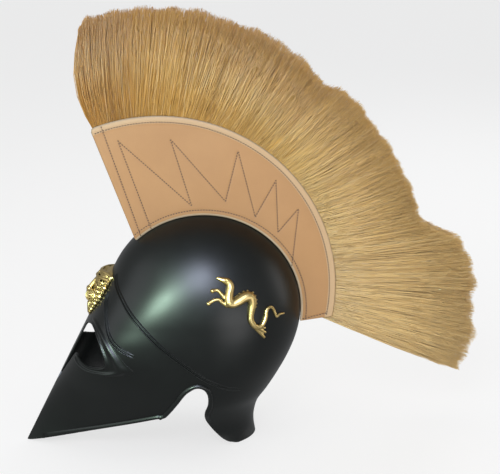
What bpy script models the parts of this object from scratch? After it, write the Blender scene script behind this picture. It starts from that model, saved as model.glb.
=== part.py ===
"""Corinthian helmet with a tall horsehair crest, in metres, +Z up.

The helmet faces -X, its left side is towards -Y, and it is symmetric about Y = 0.  It
stands on its chin tips and on the back of its neck guard.  All shapes are worked out in
helmet coordinates, where the chin tip is at X = 0 and Z = 0, and are then centred over
the origin.
"""
import math
from collections import namedtuple

import bmesh
import bpy
from mathutils import Vector

# Driving sizes of the shell, in metres
SKULL_RADIUS = 0.134
SKULL_HALF_WIDTH = 0.102
SKULL_HEIGHT = 0.190
FACE_REACH = 0.258
WALL = 0.002

# Sizes of the face
EYE_OUTER = 0.081
EYE_TOP = 0.182
EYE_LOW = 0.131
CHEEK_CORNER = 0.036
CHEEK_CORNER_HEIGHT = 0.141
CHEEKS_MEET_HEIGHT = 0.088
CHEEK_GAP = 0.003
NASAL_ROOT_WIDTH = 0.023
NASAL_TIP_WIDTH = 0.013
NASAL_TIP_HEIGHT = 0.100

# Sizes of the crest
PANEL_SPACING = 0.034
PANEL_THICKNESS = 0.003
PANEL_ARC_RADIUS = 0.238
HAIR_LENGTH = 0.185
HAIR_SPREAD = 0.054
LOCK_RELIEF = 0.003
LOCK_POINT = 0.007

# Sizes of the ornaments
MASK_HEIGHT = 0.074
MASK_WIDTH = 0.060
MASK_PLATE = 0.005
MASK_RELIEF = 0.017
MASK_TOP = 0.247
DRAGON_LENGTH = 0.100
DRAGON_BEHIND = 0.057
DRAGON_ABOVE = 0.022

# Sizes of the raised lines, and how far their middles stand off the wall as a share of them
RIDGE_RADIUS = 0.0026
RIM_RADIUS = 0.0028
RIDGE_RISE = 0.30

# The gap left between pieces that touch
SEAT_GAP = 0.0003

# How finely the round forms are divided
RING_SIDES = 40
RING_STEP = 0.014
DOME_RINGS = 8
PANEL_STEPS = 18
LOCKS = 28
MASK_LUMP_SIDES = 8
MASK_CURL_SIDES = 6
HAIR_ROWS = (0.05, 0.15, 0.40, 0.75, 0.93)

# Where the hair is fullest, how far it has closed at its tips in degrees, and how full its
# first and last locks are
HAIR_FULL = 0.40
HAIR_CLOSING = 60.0
HAIR_END = 0.94

# How far below the skull's outside the panels are drawn before they are cut to its curve,
# as a share of SKULL_RADIUS
PANEL_SUNK = 0.10

# How deep the face opening's cut reaches behind the chin, as a share of FACE_REACH
FACE_CUT_DEPTH = 0.60

# A level section of the shell.  Height is a share of SKULL_HEIGHT, back and widest are
# shares of SKULL_RADIUS behind the skull's middle, and width is a share of
# SKULL_HALF_WIDTH.  The powers make the front and back halves pointed or square.
Section = namedtuple("Section", "height back width widest front_power back_power")
SECTIONS = (
    Section(-0.08, 0.505, 0.680, -0.30, 1.35, 2.0),
    Section(0.00, 0.483, 0.655, -0.30, 1.35, 2.0),
    Section(0.09, 0.469, 0.635, -0.30, 1.40, 2.0),
    Section(0.17, 0.480, 0.665, -0.30, 1.46, 2.0),
    Section(0.27, 0.528, 0.745, -0.27, 1.56, 2.0),
    Section(0.37, 0.633, 0.820, -0.20, 1.70, 2.0),
    Section(0.48, 0.737, 0.880, -0.15, 1.92, 2.0),
    Section(0.61, 0.845, 0.935, -0.08, 2.35, 2.0),
    Section(0.74, 0.928, 0.972, -0.03, 2.80, 2.0),
    Section(0.87, 0.980, 0.993, 0.00, 2.90, 2.0),
    Section(1.00, 1.000, 1.000, 0.00, 2.62, 2.0),
    Section(1.20, 1.000, 1.000, 0.00, 2.30, 2.0),
    Section(1.40, 1.000, 1.000, 0.00, 2.05, 2.0),
    Section(1.75, 1.000, 1.000, 0.00, 2.00, 2.0),
)

# The lower edge from chin to neck, seen from the side.  Along is a share of FACE_REACH
# behind the chin tip, and height is a share of SKULL_HEIGHT.
EdgePoint = namedtuple("EdgePoint", "along height")
LOWER_EDGE = (
    EdgePoint(0.016, 0.000),
    EdgePoint(0.100, 0.032),
    EdgePoint(0.288, 0.106),
    EdgePoint(0.502, 0.190),
    EdgePoint(0.715, 0.273),
    EdgePoint(0.745, 0.279),
    EdgePoint(0.768, 0.286),
    EdgePoint(0.789, 0.308),
    EdgePoint(0.848, 0.413),
    EdgePoint(0.875, 0.466),
    EdgePoint(0.903, 0.509),
    EdgePoint(0.935, 0.537),
    EdgePoint(0.965, 0.540),
    EdgePoint(0.992, 0.515),
    EdgePoint(1.006, 0.460),
    EdgePoint(1.004, 0.385),
    EdgePoint(0.988, 0.325),
    EdgePoint(0.984, 0.270),
    EdgePoint(1.000, 0.205),
    EdgePoint(1.038, 0.116),
    EdgePoint(1.088, 0.040),
    EdgePoint(1.150, 0.000),
)

# The edge of an eye opening from the nasal's root, over the top, round the outer corner and
# back to the top front corner of the cheek piece.  Across is a share of EYE_OUTER from the
# middle plane, and height runs from 0 at EYE_LOW to 1 at EYE_TOP.
EyePoint = namedtuple("EyePoint", "across height")
EYE_EDGE = (
    EyePoint(0.25, 0.92),
    EyePoint(0.38, 0.97),
    EyePoint(0.50, 1.00),
    EyePoint(0.61, 0.98),
    EyePoint(0.72, 0.91),
    EyePoint(0.83, 0.79),
    EyePoint(0.92, 0.62),
    EyePoint(0.98, 0.40),
    EyePoint(1.00, 0.20),
    EyePoint(0.98, 0.07),
    EyePoint(0.92, 0.01),
    EyePoint(0.83, 0.00),
    EyePoint(0.73, 0.06),
    EyePoint(0.62, 0.14),
    EyePoint(0.52, 0.19),
)

# The paths of the raised lines.  Bearing is in degrees round the shell from the front, and
# height is a share of SKULL_HEIGHT.  Size is a share of RIDGE_RADIUS.
RidgePoint = namedtuple("RidgePoint", "bearing height size")
TEMPLE_LINE = (
    RidgePoint(15.0, 1.305, 0.7),
    RidgePoint(21.5, 1.255, 1.0),
    RidgePoint(32.5, 1.180, 1.0),
    RidgePoint(43.5, 1.075, 1.0),
    RidgePoint(51.0, 0.990, 1.0),
    RidgePoint(61.0, 0.865, 1.0),
    RidgePoint(75.0, 0.745, 1.0),
    RidgePoint(92.0, 0.632, 1.0),
    RidgePoint(110.0, 0.548, 0.9),
    RidgePoint(122.0, 0.505, 0.7),
    RidgePoint(134.0, 0.488, 0.4),
)
BROW_LINE = (
    RidgePoint(18.5, 1.145, 0.8),
    RidgePoint(23.0, 1.087, 1.0),
    RidgePoint(28.0, 1.004, 1.0),
    RidgePoint(31.0, 0.949, 1.0),
    RidgePoint(34.5, 0.897, 1.0),
    RidgePoint(38.0, 0.860, 0.9),
    RidgePoint(41.5, 0.830, 0.7),
    RidgePoint(46.0, 0.798, 0.4),
)

# How far the hair reaches past the panels.  Sweep is the share of the crest's sweep from
# front to back, and length is a share of HAIR_LENGTH.
HairPoint = namedtuple("HairPoint", "sweep length")
HAIR_REACH = (
    HairPoint(0.000, 0.656),
    HairPoint(0.016, 0.711),
    HairPoint(0.100, 0.711),
    HairPoint(0.155, 0.718),
    HairPoint(0.213, 0.691),
    HairPoint(0.300, 0.670),
    HairPoint(0.346, 0.639),
    HairPoint(0.391, 0.582),
    HairPoint(0.427, 0.637),
    HairPoint(0.533, 0.636),
    HairPoint(0.600, 0.649),
    HairPoint(0.705, 0.677),
    HairPoint(0.733, 0.814),
    HairPoint(0.766, 0.946),
    HairPoint(0.826, 1.005),
    HairPoint(0.898, 1.030),
    HairPoint(0.951, 1.070),
    HairPoint(1.000, 1.043),
)

# The sea dragon's lines, seen from the side and facing the front.  Along and up run from
# the dragon's middle, and thick is the radius, all as shares of DRAGON_LENGTH.
Stroke = namedtuple("Stroke", "along up thick")
DRAGON_BODY = (
    Stroke(-0.36, 0.44, 0.012),
    Stroke(-0.32, 0.42, 0.026),
    Stroke(-0.28, 0.40, 0.036),
    Stroke(-0.23, 0.38, 0.043),
    Stroke(-0.20, 0.34, 0.044),
    Stroke(-0.20, 0.30, 0.048),
    Stroke(-0.22, 0.24, 0.054),
    Stroke(-0.23, 0.18, 0.058),
    Stroke(-0.22, 0.12, 0.062),
    Stroke(-0.17, 0.10, 0.056),
    Stroke(-0.10, 0.12, 0.056),
    Stroke(-0.03, 0.15, 0.062),
    Stroke(0.03, 0.16, 0.066),
    Stroke(0.07, 0.12, 0.062),
    Stroke(0.08, 0.06, 0.052),
    Stroke(0.06, -0.02, 0.044),
    Stroke(0.05, -0.09, 0.040),
    Stroke(0.05, -0.15, 0.040),
    Stroke(0.08, -0.22, 0.039),
    Stroke(0.12, -0.26, 0.032),
    Stroke(0.18, -0.26, 0.028),
    Stroke(0.22, -0.22, 0.026),
    Stroke(0.25, -0.15, 0.023),
    Stroke(0.26, -0.08, 0.022),
    Stroke(0.29, -0.04, 0.021),
    Stroke(0.33, -0.04, 0.020),
    Stroke(0.36, -0.08, 0.019),
    Stroke(0.38, -0.14, 0.018),
    Stroke(0.40, -0.19, 0.017),
    Stroke(0.44, -0.17, 0.016),
    Stroke(0.50, -0.18, 0.012),
)
DRAGON_UPPER_LEG = (
    Stroke(-0.43, 0.29, 0.024),
    Stroke(-0.40, 0.29, 0.018),
    Stroke(-0.36, 0.28, 0.018),
    Stroke(-0.32, 0.24, 0.020),
    Stroke(-0.24, 0.14, 0.028),
)
DRAGON_LOWER_LEG = (
    Stroke(-0.49, 0.13, 0.026),
    Stroke(-0.45, 0.15, 0.019),
    Stroke(-0.39, 0.17, 0.018),
    Stroke(-0.34, 0.15, 0.020),
    Stroke(-0.24, 0.09, 0.028),
)
DRAGON_FIN_TIPS = (
    Stroke(0.25, -0.31, 0.014),
    Stroke(0.25, -0.38, 0.015),
    Stroke(0.23, -0.44, 0.016),
)
DRAGON_FIN_ROOT = Stroke(0.09, -0.24, 0.026)

# One half of the mask plate's outline from top to bottom.  Across and up are shares of
# MASK_WIDTH and MASK_HEIGHT from the mask's middle.
MaskPoint = namedtuple("MaskPoint", "across up")
MASK_EDGE = (
    MaskPoint(0.10, 0.50),
    MaskPoint(0.42, 0.46),
    MaskPoint(0.47, 0.30),
    MaskPoint(0.45, 0.05),
    MaskPoint(0.38, -0.15),
    MaskPoint(0.26, -0.32),
    MaskPoint(0.00, -0.50),
)

# The rounded lumps of the mask's relief, each a low sphere on the plate: the crown band, the
# forehead, the face, the chin, the muzzle's cheek, the eye, and the curls of the mane.  Across
# and wide are shares of MASK_WIDTH, up and high are shares of MASK_HEIGHT, and deep is a share
# of MASK_RELIEF.  A lump beside the middle line has a twin on the other side.
Lump = namedtuple("Lump", "across up wide high deep")
MASK_LUMPS = (
    Lump(0.00, 0.40, 0.38, 0.100, 0.55),
    Lump(0.00, 0.28, 0.30, 0.070, 0.62),
    Lump(0.00, -0.02, 0.27, 0.300, 0.62),
    Lump(0.00, -0.30, 0.13, 0.160, 0.42),
    Lump(0.13, -0.10, 0.12, 0.110, 0.72),
    Lump(0.20, 0.10, 0.08, 0.055, 0.55),
    Lump(0.44, 0.36, 0.09, 0.085, 0.36),
    Lump(0.43, 0.20, 0.09, 0.085, 0.36),
    Lump(0.40, 0.05, 0.09, 0.085, 0.36),
    Lump(0.35, -0.10, 0.09, 0.085, 0.36),
    Lump(0.27, -0.24, 0.09, 0.085, 0.36),
    Lump(0.16, -0.36, 0.09, 0.085, 0.36),
)

# The widest lump that counts as a curl, as a share of MASK_WIDTH
MASK_CURL = 0.09

# The mask's squared nose, a block on the middle line
MASK_NOSE = Lump(0.00, 0.10, 0.17, 0.30, 0.76)

# The crest's sweep round the skull's middle, in degrees above the level line behind it:
# where the hair leaves the skull, where it leaves the panels, and where its tips lie.
Sweep = namedtuple("Sweep", "front back")
HAIR_FOOT = Sweep(128.5, -8.5)
HAIR_ROOT = Sweep(118.0, -7.5)
HAIR_TIP = Sweep(113.2, -17.0)
PANEL_FOOT = Sweep(131.5, -10.5)
PANEL_TOP = Sweep(118.5, -6.0)

# The middle of the panels' outer arc, as shares of SKULL_RADIUS from the skull's middle
PANEL_ARC_FORWARD = 0.429
PANEL_ARC_RISE = 0.243

for old in list(bpy.data.objects):
    bpy.data.objects.remove(old, do_unlink=True)

model = bpy.data.collections.new("corinthian_helmet")
cutters = bpy.data.collections.new("cutters")
bpy.context.scene.collection.children.link(model)
bpy.context.scene.collection.children.link(cutters)
origin = bpy.data.objects.new("helmet_origin", None)
model.objects.link(origin)


def blend_rows(table, at, column):
    """The value of a table's column at a place between its rows, on a smooth curve."""
    rows = list(table)
    key = rows[0]._fields[0]
    places = [getattr(row, key) for row in rows]
    values = [getattr(row, column) for row in rows]
    if at <= places[0]:
        return values[0]
    if at >= places[-1]:
        return values[-1]
    k = max(i for i, place in enumerate(places[:-1]) if place <= at)
    span = places[k + 1] - places[k]
    t = (at - places[k]) / span

    def slope(i):
        if i == 0 or i == len(rows) - 1:
            return 0.0
        return (values[i + 1] - values[i - 1]) / (places[i + 1] - places[i - 1])

    a, b = values[k], values[k + 1]
    m, n = slope(k) * span, slope(k + 1) * span
    return (
        (2 * t**3 - 3 * t**2 + 1) * a
        + (t**3 - 2 * t**2 + t) * m
        + (3 * t**2 - 2 * t**3) * b
        + (t**3 - t**2) * n
    )


def face_line(height):
    """X of the straight face line, which runs from the chin tip to touch the skull's circle."""
    far = math.hypot(FACE_REACH, SKULL_HEIGHT)
    rise = math.atan2(SKULL_HEIGHT, FACE_REACH) + math.asin(SKULL_RADIUS / far)
    return height / math.tan(rise)


def brow_height():
    """Height at which the face line touches the skull's circle."""
    far = math.hypot(FACE_REACH, SKULL_HEIGHT)
    rise = math.atan2(SKULL_HEIGHT, FACE_REACH) + math.asin(SKULL_RADIUS / far)
    return math.sqrt(far**2 - SKULL_RADIUS**2) * math.sin(rise)


def section(height):
    """The level section of the shell at a height: front, back, widest, half width, powers."""
    share = height / SKULL_HEIGHT
    above = max(height - SKULL_HEIGHT, 0.0) / SKULL_RADIUS
    round_off = math.sqrt(max(1.0 - above**2, 0.0))
    back = FACE_REACH + SKULL_RADIUS * blend_rows(SECTIONS, share, "back") * round_off
    widest = FACE_REACH + SKULL_RADIUS * blend_rows(SECTIONS, share, "widest")
    width = SKULL_HALF_WIDTH * blend_rows(SECTIONS, share, "width") * round_off
    if height < brow_height():
        front = face_line(height)
    else:
        front = FACE_REACH - SKULL_RADIUS * round_off
    front_power = blend_rows(SECTIONS, share, "front_power")
    back_power = blend_rows(SECTIONS, share, "back_power")
    return front, back, widest, width, front_power, back_power


def ring_point(height, turn):
    """A point of the shell's outside at a height.  Turn is 0 at the front and pi at the back."""
    front, back, widest, width, front_power, back_power = section(height)
    power = front_power if math.cos(turn) > 0 else back_power
    reach = widest - front if math.cos(turn) > 0 else back - widest
    along = math.copysign(abs(math.cos(turn)) ** (2 / power), math.cos(turn))
    across = math.copysign(abs(math.sin(turn)) ** (2 / power), math.sin(turn))
    return Vector((widest - reach * along, width * across, height))


def side_y(x, height):
    """How far the shell's outside stands from the middle plane at a place seen from the side."""
    front, back, widest, width, front_power, back_power = section(height)
    power = front_power if x < widest else back_power
    reach = widest - front if x < widest else back - widest
    share = min(abs(x - widest) / reach, 1.0)
    return width * (1 - share**power) ** (1 / power)


def front_x(y, height):
    """X of the shell's outside at a place seen from the front."""
    front, _, widest, width, power, _ = section(height)
    share = min(abs(y) / width, 1.0)
    return widest - (widest - front) * (1 - share**power) ** (1 / power)


def on_skull(angle, radius):
    """A point in the middle plane at an angle in degrees and a distance from the skull's middle."""
    turn = math.radians(angle)
    return Vector((FACE_REACH + radius * math.cos(turn), 0, SKULL_HEIGHT + radius * math.sin(turn)))


def panel_radius(angle):
    """Distance from the skull's middle to the panels' outer arc at an angle in degrees."""
    centre = Vector((-PANEL_ARC_FORWARD, PANEL_ARC_RISE)) * SKULL_RADIUS
    along = Vector((math.cos(math.radians(angle)), math.sin(math.radians(angle))))
    near = along.dot(centre)
    return near + math.sqrt(near**2 - centre.length_squared + PANEL_ARC_RADIUS**2)


def paint(name, colour, roughness, metallic):
    """A plain finish.  Colour is a web colour."""
    material = bpy.data.materials.new(name)
    material.use_nodes = True
    shader = material.node_tree.nodes["Principled BSDF"]
    parts = [int(colour[i : i + 2], 16) / 255 for i in (1, 3, 5)]
    linear = [c / 12.92 if c <= 0.04045 else ((c + 0.055) / 1.055) ** 2.4 for c in parts]
    shader.inputs["Base Color"].default_value = (*linear, 1)
    shader.inputs["Roughness"].default_value = roughness
    shader.inputs["Metallic"].default_value = metallic
    material.diffuse_color = (*linear, 1)
    return material


def place(name, mesh, collection, material=None):
    """An object for a mesh, put in a collection under the common origin."""
    thing = bpy.data.objects.new(name, mesh)
    collection.objects.link(thing)
    thing.parent = origin
    if material:
        mesh.materials.append(material)
    if collection is cutters:
        thing.hide_render = True
        thing.display_type = "WIRE"
    return thing


def finish_mesh(name, bm):
    """A mesh from working geometry, with doubles merged and faces turned outwards."""
    bmesh.ops.remove_doubles(bm, verts=bm.verts, dist=1e-5)
    bmesh.ops.recalc_face_normals(bm, faces=bm.faces)
    mesh = bpy.data.meshes.new(name)
    bm.to_mesh(mesh)
    bm.free()
    return mesh


def from_curve(curve, turn=(0, 0, 0)):
    """The closed mesh of a curve, welded, and turned by three angles in degrees."""
    helper = bpy.data.objects.new("curve", curve)
    helper.rotation_euler = [math.radians(a) for a in turn]
    bpy.context.scene.collection.objects.link(helper)
    bpy.context.view_layer.update()
    graph = bpy.context.evaluated_depsgraph_get()
    mesh = bpy.data.meshes.new_from_object(helper.evaluated_get(graph))
    mesh.transform(helper.matrix_world)
    bpy.data.objects.remove(helper)
    bm = bmesh.new()
    bm.from_mesh(mesh)
    bpy.data.meshes.remove(mesh)
    return finish_mesh("welded", bm)


def flat_solid(outline, half_thickness, turn):
    """A flat outline of pairs made a plate that is half_thickness to each side of its plane."""
    curve = bpy.data.curves.new("outline", "CURVE")
    curve.dimensions = "2D"
    curve.fill_mode = "BOTH"
    curve.extrude = half_thickness
    spline = curve.splines.new("POLY")
    spline.points.add(len(outline) - 1)
    for point, (a, b) in zip(spline.points, outline):
        point.co = (a, b, 0, 1)
    spline.use_cyclic_u = True
    return from_curve(curve, turn)


def bar(points, radii, sides=2):
    """A round bar through points, with a radius for each.  Sides sets how round it is."""
    curve = bpy.data.curves.new("bar", "CURVE")
    curve.dimensions = "3D"
    curve.bevel_depth = 1.0
    curve.bevel_resolution = sides - 1
    curve.use_fill_caps = True
    spline = curve.splines.new("POLY")
    spline.points.add(len(points) - 1)
    for point, co, radius in zip(spline.points, points, radii):
        point.co = (*co, 1)
        point.radius = radius
    return from_curve(curve)


def boolean(thing, operation, other):
    """Adds an exact Boolean of another object, or of a collection of objects."""
    modifier = thing.modifiers.new(operation.lower(), "BOOLEAN")
    modifier.operation = operation
    modifier.solver = "EXACT"
    if isinstance(other, bpy.types.Collection):
        modifier.operand_type = "COLLECTION"
        modifier.collection = other
    else:
        modifier.object = other


def group(name, meshes):
    """Hidden objects for some meshes, in a collection of their own inside the cutters."""
    inner = bpy.data.collections.new(name)
    cutters.children.link(inner)
    for mesh in meshes:
        thing = bpy.data.objects.new(name, mesh)
        inner.objects.link(thing)
        thing.parent = origin
        thing.hide_render = True
        thing.display_type = "WIRE"
    return inner


def skin(grow=0.0, closed=False):
    """The shell's outside as a loft of level rings up to the crown.  Grow moves it outwards."""
    lowest = SECTIONS[0].height * SKULL_HEIGHT
    count = round((SKULL_HEIGHT - lowest) / RING_STEP)
    heights = [lowest + (SKULL_HEIGHT - lowest) * i / count for i in range(count)]
    for i in range(DOME_RINGS):
        rise = math.radians(90) * i / DOME_RINGS
        heights.append(SKULL_HEIGHT + SKULL_RADIUS * math.sin(rise))
    bm = bmesh.new()
    rings = []
    for height in heights:
        turns = [2 * math.pi * (i + 0.5) / RING_SIDES for i in range(RING_SIDES)]
        rings.append([bm.verts.new(ring_point(height, turn)) for turn in turns])
    for low, high in zip(rings, rings[1:]):
        for i in range(RING_SIDES):
            j = (i + 1) % RING_SIDES
            bm.faces.new((low[j], low[i], high[i], high[j]))
    crown = bm.verts.new(on_skull(90, SKULL_RADIUS))
    for i in range(RING_SIDES):
        bm.faces.new((rings[-1][(i + 1) % RING_SIDES], rings[-1][i], crown))
    if closed:
        bm.faces.new(rings[0])
    bmesh.ops.recalc_face_normals(bm, faces=bm.faces)
    if not closed and bm.faces[0].normal.dot(bm.faces[0].calc_center_median() - on_skull(0, 0)) < 0:
        bmesh.ops.reverse_faces(bm, faces=bm.faces)
    bm.normal_update()
    for vert in bm.verts:
        vert.co += vert.normal * grow
    mesh = bpy.data.meshes.new("skin")
    bm.to_mesh(mesh)
    bm.free()
    return mesh


def bearing_point(bearing, height, lift=0.0):
    """A point of the shell's outside at a bearing in degrees from the front, and a height."""

    def surface(turn, level):
        front, back, widest, width, front_power, back_power = section(level)
        power = front_power if math.cos(turn) > 0 else back_power
        reach = widest - front if math.cos(turn) > 0 else back - widest
        size = (abs(math.cos(turn)) / reach) ** power + (abs(math.sin(turn)) / width) ** power
        radius = size ** (-1 / power)
        return Vector((widest - radius * math.cos(turn), radius * math.sin(turn), level))

    turn = math.radians(bearing)
    step = 0.0005
    round_it = surface(turn + step, height) - surface(turn - step, height)
    up_it = surface(turn, height + step) - surface(turn, height - step)
    return surface(turn, height) - lift * round_it.cross(up_it).normalized()


def mirrored(points):
    """The same points on the other side of the middle plane."""
    return [Vector((p.x, -p.y, p.z)) for p in points]


def ridge(table):
    """The two bars of a raised line, one on each side of the shell, half sunk in it."""
    steps = 2 * (len(table) - 1)
    points, radii = [], []
    for i in range(steps + 1):
        bearing = table[0].bearing + (table[-1].bearing - table[0].bearing) * i / steps
        radius = RIDGE_RADIUS * blend_rows(table, bearing, "size")
        height = SKULL_HEIGHT * blend_rows(table, bearing, "height")
        points.append(bearing_point(bearing, height, radius * RIDGE_RISE))
        radii.append(radius)
    return [bar(points, radii), bar(mirrored(points), radii)]


def eye_edge():
    """The edge of the eye opening at +Y, as pairs of Y and Z from the nasal to the cheek."""
    edge = []
    for row in EYE_EDGE:
        edge.append((EYE_OUTER * row.across, EYE_LOW + (EYE_TOP - EYE_LOW) * row.height))
    edge.append((CHEEK_CORNER, CHEEK_CORNER_HEIGHT))
    return edge


def face_opening():
    """The outline of both eyes and of the gap between the cheek pieces, round the nasal."""
    root, tip = NASAL_ROOT_WIDTH / 2, NASAL_TIP_WIDTH / 2
    root_height = EYE_LOW + (EYE_TOP - EYE_LOW) * EYE_EDGE[0].height - root / 2
    nasal = []
    for i in range(5):
        turn = math.radians(90) * i / 5
        nasal.append((tip * math.sin(turn), NASAL_TIP_HEIGHT + tip * (1 - math.cos(turn))))
    nasal.append((tip, NASAL_TIP_HEIGHT + tip))
    nasal.append((root * 0.8 + tip * 0.2, root_height - root))
    nasal.append((root, root_height))
    below = -SKULL_HEIGHT
    slit = [(CHEEK_GAP / 2, CHEEKS_MEET_HEIGHT), (CHEEK_GAP / 2, below)]
    half = nasal + eye_edge() + slit
    return half + [(-y, z) for y, z in reversed(half[1:])]


def lower_edge():
    """The outline of all that is cut away below the cheek pieces and the neck guard."""
    edge = [(FACE_REACH * row.along, SKULL_HEIGHT * row.height) for row in LOWER_EDGE]
    low, far = -SKULL_HEIGHT, FACE_REACH + 2 * SKULL_RADIUS
    return [(low, low), (low, 0.0)] + edge + [(far, 0.0), (far, low)]


def rim_bars():
    """The raised rims outside the eye openings, half sunk in the shell."""
    edge = eye_edge()
    points = []
    for i, (y, z) in enumerate(edge[2:-1], start=2):
        before, after = Vector(edge[i - 1]), Vector(edge[i + 1])
        along = (after - before).normalized()
        out = Vector((-along.y, along.x)) * RIM_RADIUS
        y, z = y + out.x, z + out.y
        points.append(Vector((front_x(y, z) - RIM_RADIUS * RIDGE_RISE, y, z)))
    radii = [RIM_RADIUS] * len(points)
    return [bar(points, radii), bar(mirrored(points), radii)]


def border_bars():
    """The raised border along the cheek pieces' lower edge and round the notches."""
    points = []
    for before, row, after in zip(LOWER_EDGE, LOWER_EDGE[1:], LOWER_EDGE[2:-1]):
        along = Vector(
            (FACE_REACH * (after.along - before.along), SKULL_HEIGHT * (after.height - before.height))
        ).normalized()
        x = FACE_REACH * row.along - along.y * RIM_RADIUS
        z = SKULL_HEIGHT * row.height + along.x * RIM_RADIUS
        points.append(Vector((x, side_y(x, z) + RIM_RADIUS * RIDGE_RISE, z)))
    radii = [RIM_RADIUS] * len(points)
    return [bar(points, radii), bar(mirrored(points), radii)]


def make_shell():
    """The sheet-metal shell: a lofted skin with its wall inside, raised lines, and openings."""
    shell = place("helmet_shell", skin(), model, paint("black_paint", "#1A1D1C", 0.3, 0.0))
    wall = shell.modifiers.new("wall", "SOLIDIFY")
    wall.thickness = WALL
    wall.offset = -1
    lines = ridge(TEMPLE_LINE) + ridge(BROW_LINE) + rim_bars() + border_bars()
    boolean(shell, "UNION", group("raised_lines", lines))
    front_depth = FACE_REACH * FACE_CUT_DEPTH
    face = flat_solid(face_opening(), front_depth, (90, 0, 90))
    below = flat_solid(lower_edge(), 2 * SKULL_HALF_WIDTH, (90, 0, 0))
    boolean(shell, "DIFFERENCE", group("shell_openings", [face, below]))
    return shell


def panel_outline():
    """The outline of a crest panel: its long outer arc, its ends, and a foot inside the skull."""
    outline = []
    for i in range(PANEL_STEPS + 1):
        angle = PANEL_TOP.front + (PANEL_TOP.back - PANEL_TOP.front) * i / PANEL_STEPS
        point = on_skull(angle, panel_radius(angle))
        outline.append((point.x, point.z))
    for i in range(PANEL_STEPS + 1):
        angle = PANEL_FOOT.back + (PANEL_FOOT.front - PANEL_FOOT.back) * i / PANEL_STEPS
        point = on_skull(angle, SKULL_RADIUS * (1 - PANEL_SUNK))
        outline.append((point.x, point.z))
    return outline


def make_panels(clearance):
    """The two leather panels, upright on the skull, with their feet cut to its curve."""
    leather = paint("tan_leather", "#C89A6C", 0.6, 0.0)
    middle = PANEL_SPACING / 2 + PANEL_THICKNESS / 2
    for name, side in (("crest_panel_left", -1), ("crest_panel_right", 1)):
        mesh = flat_solid(panel_outline(), PANEL_THICKNESS / 2, (90, 0, 0))
        for vert in mesh.vertices:
            vert.co.y += side * middle
        panel = place(name, mesh, model, leather)
        boolean(panel, "DIFFERENCE", clearance)


def hair_half_width(share):
    """Half the plume's thickness at a share of the hair's length beyond the panels."""
    root = PANEL_SPACING / 2 - SEAT_GAP
    full = HAIR_SPREAD / 2
    if share <= 0:
        return root
    if share < HAIR_FULL:
        return root + (full - root) * math.sin(math.radians(90) * share / HAIR_FULL)
    return full * math.cos(math.radians(HAIR_CLOSING) * (share - HAIR_FULL) / (1 - HAIR_FULL))


def make_plume():
    """The horsehair: pointed locks, side by side, grown together on a root between the panels."""
    columns = 2 * LOCKS
    bm = bmesh.new()
    grid = []
    for i in range(columns + 1):
        sweep = i / columns
        lock = 1.0 if i % 2 else -1.0
        foot_angle = HAIR_FOOT.front + (HAIR_FOOT.back - HAIR_FOOT.front) * sweep
        root_angle = HAIR_ROOT.front + (HAIR_ROOT.back - HAIR_ROOT.front) * sweep
        tip_angle = HAIR_TIP.front + (HAIR_TIP.back - HAIR_TIP.front) * sweep
        foot = on_skull(foot_angle, SKULL_RADIUS + SEAT_GAP)
        root = on_skull(root_angle, panel_radius(root_angle) + PANEL_THICKNESS)
        length = HAIR_LENGTH * blend_rows(HAIR_REACH, sweep, "length") + LOCK_POINT * (lock - 1) / 2
        tip = on_skull(tip_angle, panel_radius(root_angle) + length)
        line = [(foot, 0.0), (foot, hair_half_width(0)), (root, hair_half_width(0))]
        for share in HAIR_ROWS:
            swell = LOCK_RELIEF * lock * min(1.0, 4 * share)
            line.append((root.lerp(tip, share), hair_half_width(share) + swell))
        line.append((tip, 0.0))
        if i in (0, columns):
            line = [(p, width * HAIR_END) for p, width in line]
            edge = [bm.verts.new((p.x, 0, p.z)) for p, _ in line]
        strip = [bm.verts.new((p.x, -width, p.z)) for p, width in line]
        if i == 0:
            grid += [edge, strip]
        elif i == columns:
            grid += [strip, edge]
        else:
            grid.append(strip)
    for left, right in zip(grid, grid[1:]):
        for k in range(len(left) - 1):
            bm.faces.new((left[k], right[k], right[k + 1], left[k + 1]))
    mesh = finish_mesh("plume", bm)
    plume = place("crest_plume", mesh, model, paint("horsehair", "#C9A25F", 0.6, 0.0))
    both = plume.modifiers.new("other_side", "MIRROR")
    both.use_axis = (False, True, False)
    both.use_clip = True
    both.merge_threshold = 0.00005
    return plume


def ball(middle, radii, sides):
    """A low sphere stretched to three radii."""
    bm = bmesh.new()
    bmesh.ops.create_uvsphere(bm, u_segments=sides, v_segments=sides * 3 // 4, radius=1.0)
    for vert in bm.verts:
        vert.co = Vector((vert.co.x * radii[0], vert.co.y * radii[1], vert.co.z * radii[2]))
        vert.co += Vector(middle)
    return finish_mesh("ball", bm)


def block(middle, size):
    """A box with a size along each of three directions."""
    bm = bmesh.new()
    bmesh.ops.create_cube(bm, size=1.0)
    for vert in bm.verts:
        vert.co = Vector((vert.co.x * size[0], vert.co.y * size[1], vert.co.z * size[2]))
        vert.co += Vector(middle)
    return finish_mesh("block", bm)


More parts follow.
